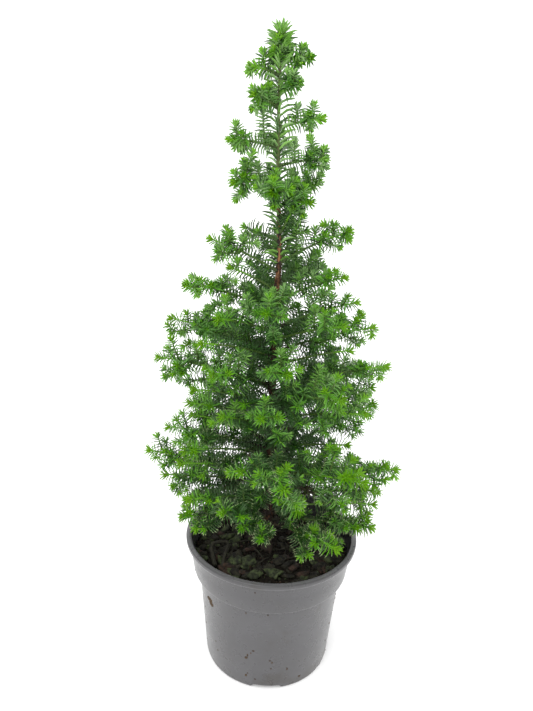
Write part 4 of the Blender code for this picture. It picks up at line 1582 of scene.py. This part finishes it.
def needleRows(sprig, rng):
    places = needlePlaces(sprig, rng)
    if places is None:
        return None
    roots, ways, outs, fromTip, share = places
    height, count = sprig["course"][0].z, len(roots)
    size, lean, curl = needleSizes(sprig, share, rng)
    tone = needleTones(sprig, fromTip, rng)
    width = np.full(count, needles["width"] * valueAt("width", height))
    low, high = needles["paleBelow"]
    pale = height < (high if rng.random() < needles["paleShare"] else low)
    return roots, ways, outs, size, lean, curl, tone, width, np.full(count, pale)


# The needles on the trunk itself and on the leading shoot
def trunkRows(rng):
    heights = np.concatenate([
        np.arange(needles["trunkFrom"], needles["leaderSpan"][0], needles["trunkStep"]),
        np.arange(*needles["leaderSpan"], needles["leaderStep"]),
    ])
    heights = heights + rng.normal(0, 0.2, len(heights))
    turns = np.arange(len(heights)) * (math.pi / 2 + 0.06) + 0.35
    heights, turns = np.repeat(heights, 2), opposite(turns)
    count = len(heights)
    turns = turns + rng.normal(0, 0.1, count)
    outs = ringAt(turns, 1, 1, 0.0)
    roots = asArray(trunkAt(height) for height in heights)
    roots += outs * np.array([trunkRadius(height) * 0.8 for height in heights])[:, None]
    ways = np.tile((0.0, 0.0, 1.0), (count, 1))
    lean = np.radians(valueAt("trunkLean", heights) + rng.normal(0, 6, count))
    share = np.clip((tree["trunkTip"] - heights) / 30, 0, 1)
    lowCurl, topCurl = needles["trunkCurl"]
    curl = np.radians(topCurl + (lowCurl - topCurl) * share + rng.normal(0, 7, count))
    size = needles["trunkLength"] * rng.uniform(*needles["trunkSizeRange"], count)
    size *= valueAt("trunkSize", heights)
    tones, shares = needles["trunkTones"]
    tone = rng.choice(tones, count, p=shares)
    tones, shares = needles["leaderTones"]
    tone = np.where(heights > needles["leaderTonesFrom"], rng.choice(tones, count, p=shares), tone)
    width = needles["trunkWidth"] * valueAt("trunkWidth", heights)
    return roots, ways, outs, size, lean, curl, tone, width, np.full(count, False)


# Blades of three stations and a point, keeled along the middle
def bladePoints(roots, ways, outs, size, lean, curl, width, twist):
    side = np.cross(ways, outs)
    curl = np.maximum(curl, 0.02)
    points = np.zeros((len(roots), 10, 3))
    lengthways, crossways = np.sin(twist)[:, None], np.cos(twist)[:, None]
    for number, (share, wide) in enumerate(needles["stations"]):
        turn = lean + curl * share
        ahead = (np.sin(turn) - np.sin(lean)) / curl * size
        beside = (np.cos(lean) - np.cos(turn)) / curl * size
        middle = roots + ways * ahead[:, None] + outs * beside[:, None]
        middle[:, 2] -= needles["droop"] * size * share ** 2
        if number == 3:
            points[:, 9] = middle
            break
        above = ways * np.sin(turn)[:, None] - outs * np.cos(turn)[:, None]
        half = (side * crossways + above * lengthways) * (width * wide / 2)[:, None]
        keel = (above * crossways - side * lengthways) * (width * needles["keel"] * wide)[:, None]
        for place, point in enumerate((middle - half, middle - keel, middle + half)):
            points[:, number * 3 + place] = point
    return points


bladeQuads = np.array([(0, 3, 4, 1), (1, 4, 5, 2), (3, 6, 7, 4), (4, 7, 8, 5)])
bladeEnd = np.array([(6, 9, 7), (7, 9, 8)])


# Copies of a blade's faces, one for each blade that starts at an offset
def repeated(faces, offsets):
    return (faces + offsets[:, None, None]).reshape(-1, faces.shape[1])


def makeNeedles():
    rng = np.random.default_rng(7)
    found = [rows for rows in (needleRows(sprig, rng) for sprig in sprigs) if rows] + [trunkRows(rng)]
    roots, ways, outs, size, lean, curl, tone, width, pale = (np.concatenate(block) for block in zip(*found))
    twist = rng.normal(0, needles["twist"], len(roots))
    points = bladePoints(roots, ways, outs, size, lean, curl, width, twist)
    low, high = np.array(cadLow) / mm + 0.1, np.array(cadHigh) / mm - 0.1
    inBox = ((points > low) & (points < high)).all(axis=(1, 2))
    print("needles:", len(points), "of which outside the box and left out:", int((~inBox).sum()))
    pale &= tone > 0
    ends = points[inBox & pale][:, 6:]
    faces = [repeated(bladeEnd - 6, np.arange(len(ends)) * 4)]
    look = needleMaterial("paleEnd", needles["paleEnds"], needles["paleEnds"], needles["shine"])
    pieceFromArrays("paleNeedleEnds", ends.reshape(-1, 3), faces, look, "foliage")
    for number, (name, (top, under)) in enumerate(greens.items()):
        chosen = inBox & (tone == number)
        blades, pointed = points[chosen], ~pale[chosen]
        look = needleMaterial(name, top, under, needles["tipShine" if number < 2 else "shine"])
        for part, first in enumerate(range(0, len(blades), needles["most"]), start=1):
            block = blades[first:first + needles["most"]]
            offsets = np.arange(len(block)) * 10
            withPoint = offsets[pointed[first:first + needles["most"]]]
            faces = [repeated(bladeQuads, offsets), repeated(bladeEnd, withPoint)]
            pieceFromArrays(f"{name}Needles_{part}", block.reshape(-1, 3), faces, look, "foliage")


makeNeedles()
print("needles made")

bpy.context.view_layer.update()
pieces = [piece for piece in bpy.data.objects if piece.type == "MESH" and "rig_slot" in piece]
print("pieces finished with", sum(len(piece.data.polygons) for piece in pieces), "faces")
